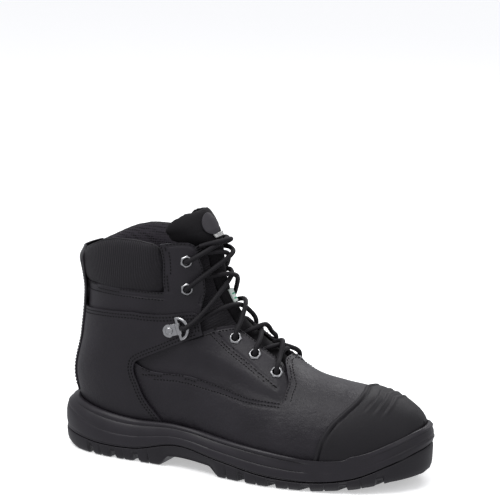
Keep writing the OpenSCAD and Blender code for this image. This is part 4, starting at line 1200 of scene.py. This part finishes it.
def gusset(label, side):
    """Ribbed textile folded between the eyestay and the tongue."""
    rows, columns = 60, 260
    s, t = grid(rows, columns)
    u = 6.7 + 6.4 * s
    widths = [.205, .205, .205, .22, .285, .3, .26, .235, .235, .235, .235]
    inner_v = .112 + .05 * np.clip((u - 9.5) / 3.5, 0, 1) - .012
    v = curve(widths, s) + (inner_v - curve(widths, s)) * t
    place = skin(u, side * v)
    rib = 2 * np.pi * (-0.5 * place[..., 0] + 0.87 * place[..., 2]) / 1.9
    height = -5.6 - 1.0 * np.sin(np.pi * t) + 0.28 * np.sin(rib)
    outer = skin(u, side * v, height)
    inner = skin(u, side * v, height - 0.9)
    obj = sheet("gusset_" + label + "_web", outer, inner)
    obj.data.materials.append(gusset_weave)
    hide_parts("gusset_" + label)
    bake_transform(obj)
    return obj


for label, side in SIDES.items():
    collar(label, side)
    gusset(label, side)
tongue()
on_tongue("tongue_badge", 14.12, -.2, .6, .18, 1.4, patch_material(), "patch", "tongue_patch", True)
on_tongue("tongue_woven_tag", 13.4, -.05, .15, .2, 1.1,
          woven_label_material("woven_tag", (0.66, 0.66, 0.64), grey(0.05), 30), "tag", "tongue_tag", False)
on_tongue("tongue_safety_label", 9.95, 0, .28, .28, 0.9,
          woven_label_material("safety_label", (0.60, 0.66, 0.62), (0.02, 0.30, 0.16), 9), "label",
          "tongue_label", False)


# ---------------------------------------------------------------- lace

lace_hole = lower_eyelets[0]
bar_rise = [[.168, -3], [.15, -4.2], [.088, -4.95], [.056, -1.1], [.03, .5]]
ring_tilt = -18
ring_lift = raised + 2.6
ring_out = 8.2
ring_radius = (ring_width - ring_wire) / 2
ring_section = 10.1


def at(u, v, height):
    return skin(u, v, height)


def over_hole(e, side):
    return [at(e[0], side * e[1], -1.2), at(e[0], side * e[1], 1.4)]


def under_hole(e, side):
    return [at(e[0] - .01, side * (e[1] - .016), -4.4), at(e[0], side * e[1], -3)]


def hop(a, b, side, over):
    """From a hole on one side to the next hole on the other, over the tongue."""
    m, d = (a[0] + b[0]) / 2, b[0] - a[0]
    return (over_hole(a, side)
            + [at(a[0] + .08 * d, side * (a[1] - .024), 3.6), at(a[0] + .22 * d, side * .09, 2.4),
               at(m, side * .012, over), at(m + .22 * d, -side * .055, over / 2 - 1.6),
               at(b[0] - .1 * d, -side * .1, -4.15)]
            + under_hole(b, -side))


def dive(b, side, over):
    return [at(b[0] - .3, side * .07, over / 2), at(b[0] - .12, side * .14, -1.6),
            at(b[0] - .05, side * .19, -4.6)]


def hop_high(a, b, side, over):
    m, d = (a[0] + b[0]) / 2, b[0] - a[0]
    return (over_hole(a, side)
            + [at(a[0] + .08 * d, side * (a[1] - .022), 3.8), at(a[0] + .18 * d, side * .18, 3.2),
               at(m, side * .012, over)]
            + dive(b, -side, over) + under_hole(b, -side))


def ring_place(side):
    return frame_on_skin(clip_rivet[0], side * clip_rivet[1], side * clip_turn)


def round_bow(side):
    origin, x, _, z = ring_place(side)
    tilt = math.radians(ring_tilt)
    out = ring_out + ring_radius * math.cos(tilt)
    up = ring_lift - ring_radius * math.sin(tilt)
    r = ring_wire / 2 + lace_diameter / 2 + 1.0
    turns = [math.radians(a) for a in (-90, -135, 180, 135, 90)]
    return [origin + (out + r * math.cos(a)) * x + (up + r * math.sin(a)) * z for a in turns]


def hop_ring(a, b, side, over):
    m, m2, d = (a[0] + ring_section) / 2, (b[0] + ring_section) / 2, ring_section - a[0]
    return (over_hole(a, side)
            + [at(a[0] + .08 * d, side * (a[1] - .024), 3.6), at(a[0] + .22 * d, side * .09, 2.4),
               at(m, side * .012, over), at(m + .22, -side * .07, over / 2 + .6),
               at(9.85, -side * .15, 2), at(10, -side * .215, 4.1)]
            + round_bow(-side)
            + [at(10.15, -side * .235, 8), at(10.35, -side * .15, 5), at(m2, -side * .012, over + .4)]
            + dive(b, side, over) + under_hole(b, side))


def last_run(a, side, over):
    return (over_hole(a, side)
            + [at(a[0] + .04, side * (a[1] - .022), 3.8), at(a[0] + .1, side * .2, 3.2),
               at(a[0] + .25, side * .012, over), at(a[0] + .35, -side * .08, over / 2),
               at(a[0] + .4, -side * .14, -1.8), at(a[0] + .4, -side * .195, -4.6)])


def chain(side, over):
    low, high = lower_eyelets, upper_eyelets
    return (hop(low[0], low[1], side, over) + hop(low[1], low[2], -side, over)
            + hop_ring(low[2], high[0], side, over) + hop_high(high[0], high[1], side, over)
            + last_run(high[1], -side, over))


def lace():
    def bar(row, side):
        return at(lace_hole[0] + 3.6 * (.168 - max(row[0], .088)), side * row[0], row[1])

    middle = ([bar(r, -1) for r in bar_rise] + [at(lace_hole[0] + .3, 0, 1)]
              + [bar(r, 1) for r in bar_rise[::-1]])
    way = chain(-1, 4.95)[::-1] + middle + chain(1, .9)
    line = smooth(np.array(way), np.linspace(0, len(way) - 1, 6000))
    run = np.concatenate([[0], np.cumsum(np.linalg.norm(np.diff(line, axis=0), axis=1))])
    spacing = 0.42
    even = np.arange(0, run[-1], spacing)
    line = np.stack([np.interp(even, run, line[:, k]) for k in range(3)], -1)

    def braid(i, angles):
        turn = 2 * math.pi * i * spacing / 6.4
        a = np.sin(4 * angles + 4 * turn)
        b = np.sin(4 * angles - 4 * turn)
        return 0.965 + 0.055 * np.maximum(a, b)

    obj = make_object("lace_braid", *tube_mesh(line, lace_diameter, 24, braid))
    dress(obj, lace_cord, BOOT, "lace_cord", "lace")


# ---------------------------------------------------------------- metal parts

def eyelet_mesh(place):
    """Eyelet: a rounded six-sided rim round a rolled lip."""
    base = level_leather
    bore = eyelet_bore / 2
    rim = eyelet_rim / 2
    profile = [(bore, base - 1.6), (bore, base + 0.7), (bore + .25, base + 1.15), (bore + .75, base + 1.4),
               (bore + 1.25, base + 1.25), (bore + 1.5, base + 0.95), (rim - .35, base + 0.85),
               (rim - .05, base + 0.6), (rim, base + 0.2), (rim - .1, base - 0.1), (bore + 1, base - 0.2),
               (bore + .6, base - 1.6)]

    def radius_at(radius, angles):
        hexagon = math.cos(math.pi / 6) / np.cos((angles % (math.pi / 3)) - math.pi / 6)
        share = np.clip((radius - bore - 1.4) / 0.6, 0, 1)
        return radius * (1 + share * (hexagon * 1.05 - 1) * 0.85)

    rings = revolve(profile, 48, radius_at)
    return to_skin(rings, place).reshape(-1, 3), ring_faces(len(profile), 48, closed=True)


def eyelets(label, side):
    points, faces = [], []
    for u, v in np.concatenate([lower_eyelets, upper_eyelets]):
        p, f = eyelet_mesh(frame_on_skin(u, side * v))
        first = sum(len(q) for q in points)
        faces += [tuple(first + i for i in face) for face in f]
        points.append(p)
    obj = make_object("eyelet_rims_" + label, np.concatenate(points), faces)
    dress(obj, bright_metal, BOOT, "bright_metal", "eyelets_" + label)


def clip(label, side):
    """Folded strap of the ring: it wraps the straight bar and lies flat under the rivet."""
    place = ring_place(side)
    wall, half, end_radius = strap_wall, 4.6, 5.2
    radius = ring_wire / 2 + 0.15
    flat = raised + strap_gap + wall / 2
    path = [(x, flat) for x in np.linspace(-5.3, ring_out - 1.2, 22)]
    bend = radius + wall / 2
    for a in np.linspace(-math.pi / 2, math.pi * 1.08, 30):
        path.append((ring_out + bend * math.cos(a), ring_lift + bend * math.sin(a)))
    path += [(x, flat + wall * 1.02) for x in np.linspace(ring_out - 4.2, -5.0, 18)]
    path = np.array(path)
    path = np.array([np.interp(np.linspace(0, len(path) - 1, 110), np.arange(len(path)), path[:, k])
                     for k in (0, 1)]).T
    path = smooth_line(path, 2)
    tangent = unit(np.gradient(path, axis=0))
    normal = np.stack([-tangent[:, 1], tangent[:, 0]], -1)
    rows = []
    for point, n in zip(path, normal):
        wide = half if point[0] > 1 else half + 0.6 * float(step(2.5, 0, point[0]))
        if point[0] < -1.5:
            wide = math.sqrt(max(end_radius ** 2 - min(abs(point[0]), 5.15) ** 2, 0.4))
        rows.append((point, n, wide))
    y = np.linspace(-1, 1, 13)

    def face(off):
        return np.array([[[p[0] + n[0] * off, w * k, p[1] + n[1] * off] for k in y] for p, n, w in rows])

    obj = sheet("clip_strap_" + label, to_skin(face(wall / 2), place), to_skin(face(-wall / 2), place))
    bevel(obj, 0.2, angle=40)
    dress(obj, bright_metal, BOOT, "bright_metal", "ring_clip_" + label)


def rivet(label, side):
    place = frame_on_skin(clip_rivet[0], side * clip_rivet[1])
    top = raised + strap_gap + 2 * strap_wall + 0.1
    under = level_under
    profile = [(0.01, under - 0.8), (3.0, under - 0.8), (3.0, under - 0.1), (1.5, under), (1.5, top),
               (2.9, top), (3.0, top + 0.25), (2.8, top + 0.62), (2.4, top + 0.88), (2.0, top + 1.05),
               (1.4, top + 1.24), (0.8, top + 1.33), (0.01, top + 1.36)]
    rings = revolve(profile, 40)
    obj = make_object("rivet_" + label, to_skin(rings, place).reshape(-1, 3), ring_faces(len(profile), 40))
    dress(obj, bright_metal, BOOT, "bright_metal", "ring_rivet_" + label)


lace()
for label, side in SIDES.items():
    eyelets(label, side)
    clip(label, side)
    rivet(label, side)


# ---------------------------------------------------------------- CAD parts that stay, and linings

def keep_cad(material, *nodes):
    for name in nodes:
        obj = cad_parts[name]
        obj.data.materials.clear()
        obj.data.materials.append(material)


keep_cad(bright_metal, "ring_lateral", "ring_medial")
keep_cad(cap_steel, "steel_toe_cap", "puncture_plate")
keep_cad(board_fibre, "insole_board")
keep_cad(counter_board, "heel_counter")
keep_cad(foam_rubber, "toe_cap_edge_strip")
keep_cad(lining_mesh, "vamp_lining")


def quarter_lining():
    low = np.concatenate([[[u, float(tuck(np.array(u)))] for u in (6.9, 7.6, 8.3)], heel_run(7, 8.9, 1)])
    high = [[6.9, .33], [8, .345], [9.5, .35], [10.8, .36], [11.8, .4], [12.35, .48], [12.75, .62],
            [13, .8], [13.15, 1]]
    s, t = grid(60, 120)
    half = patch(low, high, [low[0], [6.9, .33]], [low[-1], [11.5, 1], [13.15, 1]], s, t)
    v = np.minimum(half[..., 1], tuck(half[..., 0]))
    u = np.concatenate([half[..., 0], half[:, -2::-1, 0]], 1)
    v = np.concatenate([-v, v[:, -2::-1]], 1)
    outer = skin(u, v, np.full(u.shape, level_lining))
    inner = skin(u, v, np.full(u.shape, level_lining - lining))
    obj = sheet("quarter_lining_mesh", outer, inner)
    dress(obj, lining_mesh, BOOT, "lining_mesh", "quarter_lining")


def footbed():
    """Cushioned insert with a raised rim, a heel cup and a fabric top."""
    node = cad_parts["footbed"]
    obj = node.copy()
    obj.data = node.data.copy()
    obj.name = "footbed_cushion"
    obj.parent = None
    obj.matrix_world = Matrix.Identity(4)
    for key in list(obj.keys()):
        del obj[key]
    bpy.context.scene.collection.objects.link(obj)
    remesh(obj, 2.2)
    smooth_points(obj, 5)
    subdivide(obj)
    low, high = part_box("footbed")
    co = vertex_places(obj)
    up = np.clip(vertex_normals(obj)[:, 2], 0, 1) ** 2
    rib = np.sin(co[:, 0] / MM * 2 * np.pi / 6) * np.sin(co[:, 1] / MM * 2 * np.pi / 6)
    arch = (co[:, 0] < high.x - 0.12) & (co[:, 0] > low.x + 0.03)
    co[:, 2] -= up * (0.35 * MM) * np.where(arch, 0.4 + 0.6 * rib, 0.4)
    move_vertices(obj, co)
    dress(obj, footbed_cloth, "footbed", "footbed_fabric", "footbed")


footbed_cloth = knit_material("footbed_cloth", grey(0.012), grey(0.04), 1.6)
quarter_lining()
footbed()


# ---------------------------------------------------------------- midsole and outsole

sole_turns = 260


def sole_span(t):
    """Middle and half width of the sole at shares of the way toe to heel."""
    outer, inner = sole_at(sole_outer, t), sole_at(sole_inner, t)
    return (inner - outer) / 2, (inner + outer) / 2


def outline(t, side, inset):
    """Points of the sole outline at shares of the way toe to heel, drawn in by an inset."""
    middle, half = sole_span(t)
    half = half * (1 - inset / outline_shrink)
    x = (half_length - inset) * np.cos(np.pi * t)
    return np.stack([x, y_scale * (middle + side * half), 0 * t], -1)


ring_share = np.concatenate([np.linspace(0, 1, sole_turns + 1), np.linspace(1, 0, sole_turns + 1)[1:-1]])
ring_hand = np.concatenate([-np.ones(sole_turns + 1), np.ones(sole_turns - 1)])


def rim_off(u):
    """How far the inside of the rim stands off the boot surface."""
    wide, close = raised + layer_gap, layer_gap
    return wide + (close - wide) * (step(5, 5.6, u) - step(7.8, 8.5, u))


def upper_ring(rows, add, offset=None):
    """Where the upper passes the heights of a sole table, all the way round."""
    first, last = 0.12, heel_section(rows, add)
    u = first + (last - first) * np.linspace(0, 1, 900) ** 1.4
    share = np.minimum(meets(u, rows, add), 1)
    x_all = shape_at(u, share)[..., 0]
    x_toe, x_heel = x_all[0], float(shape_at(last, 1.0)[0])
    x = x_heel + (x_toe - x_heel) * (1 + np.cos(np.pi * ring_share)) / 2
    section = np.interp(-x, -x_all, u)
    section[sole_turns] = last
    v = ring_hand * np.minimum(meets(section, rows, add), 1)
    height = rim_off(section) if offset is None else np.full(section.shape, float(offset))
    points = skin(section, v, height)
    ends = (ring_share == 0) | (ring_share == 1)
    points[ends, 1] = y_scale * smooth(SECTIONS, section[ends])[..., 9]
    return points


def grown(ring, amount):
    out = outline(ring_share, ring_hand, 0) - ring
    out[:, 2] = 0
    length = np.linalg.norm(out, axis=1, keepdims=True)
    return ring + out / np.maximum(length, 1e-6) * np.minimum(amount, length - 0.4)


def level_of(rows, share=None):
    return z_scale * sole_at(rows, ring_share if share is None else share)


def even_rings(rings, rounds=2):
    """Takes small kinks out of rings of points, round the boot."""
    for _ in range(rounds):
        rings = (np.roll(rings, 1, 1) + 2 * rings + np.roll(rings, -1, 1)) / 4
    return rings


def wall(inside, out, up, push=0.0):
    """Ring on the side wall: shares of the way out and up, pushed out by some millimetres."""
    rim = grown(inside, rim_wall)
    edge = outline(ring_share, ring_hand, 0.2)
    low = level_of(parting_heights)
    points = rim + out * (edge - rim)
    away = unit((edge - rim) * [1, 1, 0])
    points = points + push * away
    points[:, 2] = low + up * (rim[:, 2] - low)
    return points


def midsole():
    """Moulded midsole: rolled rim lip, a groove below it, a waist, a lower bulge and a toe bumper."""
    t = ring_share
    low = level_of(parting_heights)
    toe = step(0.263, 0.246, t)
    inside = blend(upper_ring(rim_heights, 0), upper_ring(rim_heights + bumper_rise, 0), toe[:, None])
    rings = []
    base = outline(t, ring_hand, 9.4)
    base[:, 2] = level_of(seat_heights) + 0.6
    rings.append(base)
    for inset, add in ((3.4, 0.35), (0.9, 0.8), (0.5, 1.2)):
        ring = outline(t, ring_hand, inset)
        ring[:, 2] = low + add
        rings.append(ring)
    # From the parting line up: share of the way out, share of the way up, push outwards
    profile = [(1.00, .08, -1.0), (1.00, .10, -.15), (1.00, .15, .15), (1.00, .24, .25),
               (1.00, .34, .15), (.985, .41, -.1), (.965, .445, -.35), (.955, .46, -.9),
               (.945, .475, -1.0), (.93, .495, -.55), (.90, .56, -.35), (.86, .63, -.5),
               (.80, .69, -.75), (.72, .745, -.95), (.63, .79, -1.0), (.55, .82, -1.15),
               (.50, .835, -1.25), (.48, .85, -.9), (.46, .875, -.3), (.42, .905, .1),
               (.34, .945, .25), (.25, .975, .15), (.16, 1.0, -.05), (.08, 1.015, -.1)]
    sweep = 0.26 * step(0.70, 0.93, t)
    crease = 0.48
    for out, up, push in profile:
        below = up * (1 + sweep / crease)
        above = 1 - (1 - up) * (1 - crease - sweep) / (1 - crease)
        bumper = 1.2 * toe * step(0.2, 0.35, up) * step(0.99, 0.9, up)
        rings.append(wall(inside, out, np.where(up < crease, below, above), (push + bumper)[:, None]))
    top = grown(inside, rim_wall * 0.5)
    top[:, 2] += 0.35
    rings.append(top)
    rings.append(inside - [0, 0, 0.2])
    mixed_rows = rim_heights + 0.5 * (floor_heights - rim_heights)
    rings.append(upper_ring(mixed_rows, 0))
    floor = upper_ring(floor_heights, 0)
    floor[:, 2] = sole_height(floor_heights, floor[:, 0])
    rings.append(floor)
    rings = np.array(rings)
    rings[4:-3] = even_rings(rings[4:-3])
    obj = make_object("midsole_wall", rings.reshape(-1, 3), strip_capped(len(rings), len(t)))
    obj.data.shade_smooth()
    bevel(obj, 0.15, 1, 35)
    return dress(obj, midsole_moulding, BOOT, "midsole_foam", "midsole")


def strip_capped(count, sides):
    """Faces between rings; the first and last ring are closed across with strips."""
    faces = ring_faces(count, sides, caps=False)
    half = sides // 2
    for first in (0, (count - 1) * sides):
        faces.append((first, first + 1, first + sides - 1))
        faces.append((first + half - 1, first + half, first + half + 1))
        for i in range(1, half - 1):
            faces.append((first + i, first + sides - i, first + sides - i - 1, first + i + 1))
    return faces


heel_rows = [[-147, -122], [-117.5, -101.5], [-96, -81], [-75, -57]]
tread_inset = 2.0
fore_rows = [[-4.5, 17], [23.5, 43], [50, 70], [77.5, 99], [105.5, 125.5], [131, 147]]


def between(rows):
    """Middles and half widths of the grooves between rows of lugs."""
    pairs = [(a[1], b[0]) for a, b in zip(rows[:-1], rows[1:])]
    return [((p + q) / 2, (q - p) / 2) for p, q in pairs]


def trough(distance, half, wall_width=1.1):
    """1 in a groove of a half width, 0 outside, with steep sides."""
    return step(half + wall_width / 2, half - wall_width / 2, distance)


def tread_depth(x, y, inset):
    """How deep the tread is cut at a place on the bottom, as a share of the groove depth."""
    depth = np.zeros(x.shape)
    hand = np.where(y < channel_y(x), -1, 1)
    inward = inset
    for middle, half in between(heel_rows):
        near = trough(abs(x - middle - 0.16 * inward), half) * step(19, 16, inward)
        depth = np.maximum(depth, near)
    for middle, half in between(fore_rows):
        lateral = middle + 0.5 * np.clip(inward - 4, 0, 60) - 1.1 * np.clip(inward - 28, 0, 20)
        reach = np.where(hand < 0, 1.0, step(19, 16, inward))
        width = half * np.where(inward > 17, 0.62, 1.0)
        depth = np.maximum(depth, trough(abs(x - lateral), width) * reach * np.where(hand < 0, 1, 0))
        medial_line = middle + 0.24 * np.clip(inward - 3, 0, 60)
        depth = np.maximum(depth, trough(abs(x - medial_line), width) * np.where(hand > 0, 1, 0))
    fore = step(-26, -20, x) * step(127, 121, x)
    depth = np.maximum(depth, trough(abs(y - channel_y(x)), 2.1) * fore)
    for line, half, start, end in ((17, 0.9, 0, 112), (31, 0.9, 10, 96), (-31, 0.8, 10, 92)):
        depth = np.maximum(depth, 0.62 * trough(abs(y - line), half) * step(start, start + 4, x)
                           * step(end + 4, end, x))
    for middle in np.arange(118, 148, 7.5):
        zigzag = middle - 0.42 * abs(y - 3) + 3.0 * abs(((y - 3) / 11) % 2 - 1)
        inside = step(3.0, 5.0, inset)
        depth = np.maximum(depth, 0.8 * trough(abs(x - zigzag), 1.15) * inside * step(113, 117, x))
    for middle in np.concatenate([np.mean(fore_rows[:-1], axis=1), np.mean(heel_rows[1:], axis=1)]):
        depth = np.maximum(depth, 0.55 * trough(abs(x - middle), 0.6, 0.6) * step(10, 9, inset))
    rx, ry = x + 104, y - 3.5
    egg = np.sqrt((rx / 1.42) ** 2 + ry ** 2)
    straight = np.where(x > -100, abs(ry), egg)
    waist = step(-50, -55, x)
    outside = trough(abs(straight - 20.3), 1.5) * waist * step(-150, -140, x)
    depth = np.maximum(depth, 0.9 * outside)
    inner_bowl = step(14.2, 12.6, straight) * waist
    depth = np.maximum(depth, 0.75 * inner_bowl)
    boss = step(9.5, 7.5, np.sqrt(((x + 96) / 2.6) ** 2 + ry ** 2))
    depth = depth - 0.35 * boss * inner_bowl
    ridge_cuts = trough(abs(((np.degrees(np.arctan2(ry, rx / 1.42)) + 180) % 18) - 9), 1.1, 1.0)
    band = step(12.5, 14, straight) * step(20, 18.5, straight) * step(-98, -106, x)
    depth = np.maximum(depth, 0.6 * ridge_cuts * band)
    for middle in (-142, -136.5):
        wave = middle + 1.6 * np.cos(y / 4.6)
        depth = np.maximum(depth, 0.65 * trough(abs(x - wave), 0.8) * step(21, 18, abs(ry)))
    return np.clip(depth, 0, 1)


def channel_y(x):
    """Line of the long channel down the forefoot."""
    return np.interp(x, [-24, 6, 38, 60, 93, 125], [14, 5, -9, -11, -11, -3])


def waist_relief(x, inset):
    """Rise of the arch between the heel and the ball, with low bars across it."""
    bars = 0.5 + 0.5 * np.cos((x + 30) * 2 * np.pi / 12)
    reach = step(-50, -44, x) * step(-8, -14, x) * step(19, 15, inset) * step(4, 7, inset)
    return 1.4 * bars * reach


def outsole():
    """Rubber outsole: the tread as one relief on a fine grid, and the side wall up to the midsole."""
    t_count, w_count = 520, 300
    turn = np.linspace(0.004, 0.996, t_count + 1)
    w = np.linspace(-1, 1, w_count + 1)
    middle, half = sole_span(turn)
    full_x = half_length * np.cos(np.pi * turn)
    x = (half_length - tread_inset) * np.cos(np.pi * turn)[:, None] + 0 * w
    reach = half * (1 - tread_inset / outline_shrink)
    y = y_scale * (middle[:, None] + w[None, :] * reach[:, None])
    edge = (1 - abs(w))[None, :] * reach[:, None]
    ends = half_length - abs(full_x)
    inset = np.minimum(edge, ends[:, None])
    share = turn_of(x)
    ground = z_scale * np.interp(share * (len(ground_heights) - 1), np.arange(len(ground_heights)),
                                 ground_heights)
    root = sole_height(tread_heights, x)
    cut = tread_depth(x, y, inset + tread_inset)
    bow = 5.0 * (1 - (y / 40) ** 2)
    waist = step(-58, -48, x - 0.6 * bow) * step(-2, -12, x + bow)
    level_cut = ground + (root - ground) * np.maximum(cut, waist)
    bottom = level_cut - waist_relief(x, inset + tread_inset) * waist
    round_off = 1.5 * (1 - np.clip(inset / 2.2, 0, 1)) ** 2
    bottom = bottom + round_off * (1 - waist)
    tread = np.stack([x, y, bottom], -1)
    rim = np.concatenate([tread[:, 0], tread[-1, 1:-1], tread[::-1, -1], tread[0, -2:0:-1]])
    count = len(rim)
    grid_faces = []
    columns = w_count + 1
    for i in range(t_count):
        for j in range(w_count):
            a = i * columns + j
            grid_faces.append((a, a + 1, a + 1 + columns, a + columns))
    index_rim = np.concatenate([np.arange(t_count + 1) * columns,
                                t_count * columns + np.arange(1, w_count),
                                (np.arange(t_count + 1) * columns + w_count)[::-1],
                                np.arange(w_count - 1, 0, -1)])
    points = [tread.reshape(-1, 3)]
    faces = list(grid_faces)
    base = tread.shape[0] * columns
    rim_turn = np.arccos(np.clip(rim[:, 0] / (half_length - tread_inset), -1, 1)) / np.pi
    to_outline = OutlineFit(rim, rim_turn)
    parting = z_scale * sole_at(parting_heights, rim_turn)
    wall_rings = []
    rim_ground = np.interp(rim_turn, np.linspace(0, 1, len(ground_heights)), ground_heights * z_scale)
    cut_rim = np.clip((rim[:, 2] - rim_ground) / 5, 0, 1)
    for share_up, inset_now in ((0.12, 0.9), (0.3, 0.45), (0.6, 0.2), (0.85, 0.1), (0.97, 0.25), (1.0, 0.6),
                                (1.02, 1.8)):
        place = to_outline(inset_now)
        notch = 1.7 * cut_rim * (1 - share_up) ** 0.7 if share_up < 1 else 0 * cut_rim
        place = place - notch[:, None] * to_outline.away
        height = rim[:, 2] + share_up * (parting - rim[:, 2])
        wall_rings.append(np.stack([place[:, 0], place[:, 1], height], -1))
    seat = z_scale * sole_at(seat_heights, rim_turn)
    last = to_outline(8.5)
    wall_rings.append(np.stack([last[:, 0], last[:, 1], np.minimum(seat, parting)], -1))
    previous = index_rim
    for ring in wall_rings:
        current = base + np.arange(count)
        points.append(ring)
        for k in range(count):
            m = (k + 1) % count
            faces.append((int(previous[k]), int(previous[m]), int(current[m]), int(current[k])))
        previous = current
        base += count
    first = int(previous[0])
    rows = t_count + 1
    across = w_count - 1
    left = [first + i for i in range(rows)]
    bottom_side = [first + rows + i for i in range(across)]
    right = [first + rows + across + i for i in range(rows)][::-1]
    top_side = [first + rows + across + rows + i for i in range(across)][::-1]
    for i in range(rows - 1):
        faces.append((left[i], left[i + 1], right[i + 1], right[i]))
    faces.append(tuple([left[-1]] + bottom_side + [right[-1]]))
    faces.append(tuple([right[0]] + top_side[::-1] + [left[0]]))
    obj = make_object("outsole_tread", np.concatenate(points), faces)
    return dress(obj, outsole_rubber, BOOT, "sole_rubber", "outsole")


class OutlineFit:
    """Moves the rim of the tread out to the sole outline, whatever the inset."""

    def __init__(self, rim, turn):
        self.turn = turn
        middle, half = sole_span(turn)
        reach = half * (1 - tread_inset / outline_shrink)
        self.middle = middle
        self.half = half
        self.share = np.clip((rim[:, 1] / y_scale - middle) / reach, -1, 1)
        self.away = unit(np.stack([np.cos(np.pi * turn) * 0.6 * half / 50, self.share, 0 * turn], -1))

    def __call__(self, inset):
        x = (half_length - inset) * np.cos(np.pi * self.turn)
        y = y_scale * (self.middle + self.share * self.half * (1 - inset / outline_shrink))
        return np.stack([x, y, 0 * x], -1)


midsole()
outsole()


# ---------------------------------------------------------------- setting, light and camera

scene = bpy.context.scene
centre = Vector((0, 3.5, 80)) * MM
floor_mesh = bpy.data.meshes.new("floor")
floor_level = -0.15 * MM
floor_mesh.from_pydata([(-4, -4, floor_level), (4, -4, floor_level), (4, 4, floor_level),
                        (-4, 4, floor_level)], [], [(0, 1, 2, 3)])
floor_obj = bpy.data.objects.new("floor", floor_mesh)
scene.collection.objects.link(floor_obj)
paper = bpy.data.materials.new("floor_paper")
paper.use_nodes = True
paper_nodes = paper.node_tree.nodes
paper_links = paper.node_tree.links
card = paper_nodes["Principled BSDF"]
card.inputs["Base Color"].default_value = (0.86, 0.86, 0.86, 1)
card.inputs["Roughness"].default_value = 0.9
card.inputs["Emission Color"].default_value = (1, 1, 1, 1)
card.inputs["Emission Strength"].default_value = 0.42
# Seen from below, the floor is clear, so a view of the tread is open
clear = paper_nodes.new("ShaderNodeBsdfTransparent")
facing_side = paper_nodes.new("ShaderNodeNewGeometry")
one_sided = paper_nodes.new("ShaderNodeMixShader")
paper_links.new(facing_side.outputs["Backfacing"], one_sided.inputs[0])
paper_links.new(card.outputs[0], one_sided.inputs[1])
paper_links.new(clear.outputs[0], one_sided.inputs[2])
paper_links.new(one_sided.outputs[0], paper_nodes["Material Output"].inputs[0])
floor_mesh.materials.append(paper)
for seen_by in ("visible_diffuse", "visible_glossy", "visible_transmission", "visible_shadow"):
    setattr(floor_obj, seen_by, False)

world = bpy.data.worlds.new("studio")
world.use_nodes = True
sky_nodes = world.node_tree.nodes
sky_links = world.node_tree.links
background = sky_nodes["Background"]
background.inputs[0].default_value = (0.95, 0.96, 1.0, 1)
background.inputs[1].default_value = 0.62
# The camera sees a white backdrop, while the boot is lit by the softer light
backdrop = sky_nodes.new("ShaderNodeBackground")
backdrop.inputs[0].default_value = (1, 1, 1, 1)
rays = sky_nodes.new("ShaderNodeLightPath")
seen = sky_nodes.new("ShaderNodeMixShader")
sky_links.new(rays.outputs["Is Camera Ray"], seen.inputs[0])
sky_links.new(background.outputs[0], seen.inputs[1])
sky_links.new(backdrop.outputs[0], seen.inputs[2])
sky_links.new(seen.outputs[0], sky_nodes["World Output"].inputs[0])
scene.world = world


def direction(azimuth, elevation):
    """Direction out from the boot: azimuth from the outer side toward the toe, in degrees."""
    a, e = math.radians(azimuth), math.radians(elevation)
    return Vector((math.sin(a) * math.cos(e), -math.cos(a) * math.cos(e), math.sin(e)))


def area_light(name, azimuth, elevation, distance, size, power):
    """Round soft light that looks at the middle of the boot."""
    data = bpy.data.lights.new(name, "AREA")
    data.shape = "DISK"
    data.size = size
    data.energy = power
    obj = bpy.data.objects.new(name, data)
    way = direction(azimuth, elevation)
    obj.location = centre + distance * way
    obj.rotation_euler = way.to_track_quat("Z", "Y").to_euler()
    scene.collection.objects.link(obj)


area_light("key", -30, 55, 1.3, 0.7, 8.5)
area_light("under", 20, -70, 1.2, 0.8, 1.5)
area_light("fill", 70, 30, 1.4, 0.9, 1.9)
area_light("back", 170, 45, 1.4, 0.8, 7)
area_light("top", 0, 88, 1.2, 0.8, 3.5)

camera_distance = 2.0
toward = direction(23.86, 16.0)
camera_data = bpy.data.cameras.new("camera")
camera_data.lens = 181.4
camera_data.sensor_width = 36
camera = bpy.data.objects.new("camera", camera_data)
scene.collection.objects.link(camera)
camera.location = centre + camera_distance * toward
aim = toward.to_track_quat("Z", "Y").to_matrix()
up_turn = math.radians(2.575)
side_turn = math.radians(-0.111)
tilt = Matrix.Rotation(up_turn, 3, aim.col[0]) @ Matrix.Rotation(side_turn, 3, aim.col[1])
camera.rotation_euler = (tilt @ aim).to_euler()
scene.camera = camera
scene.view_settings.view_transform = "Standard"
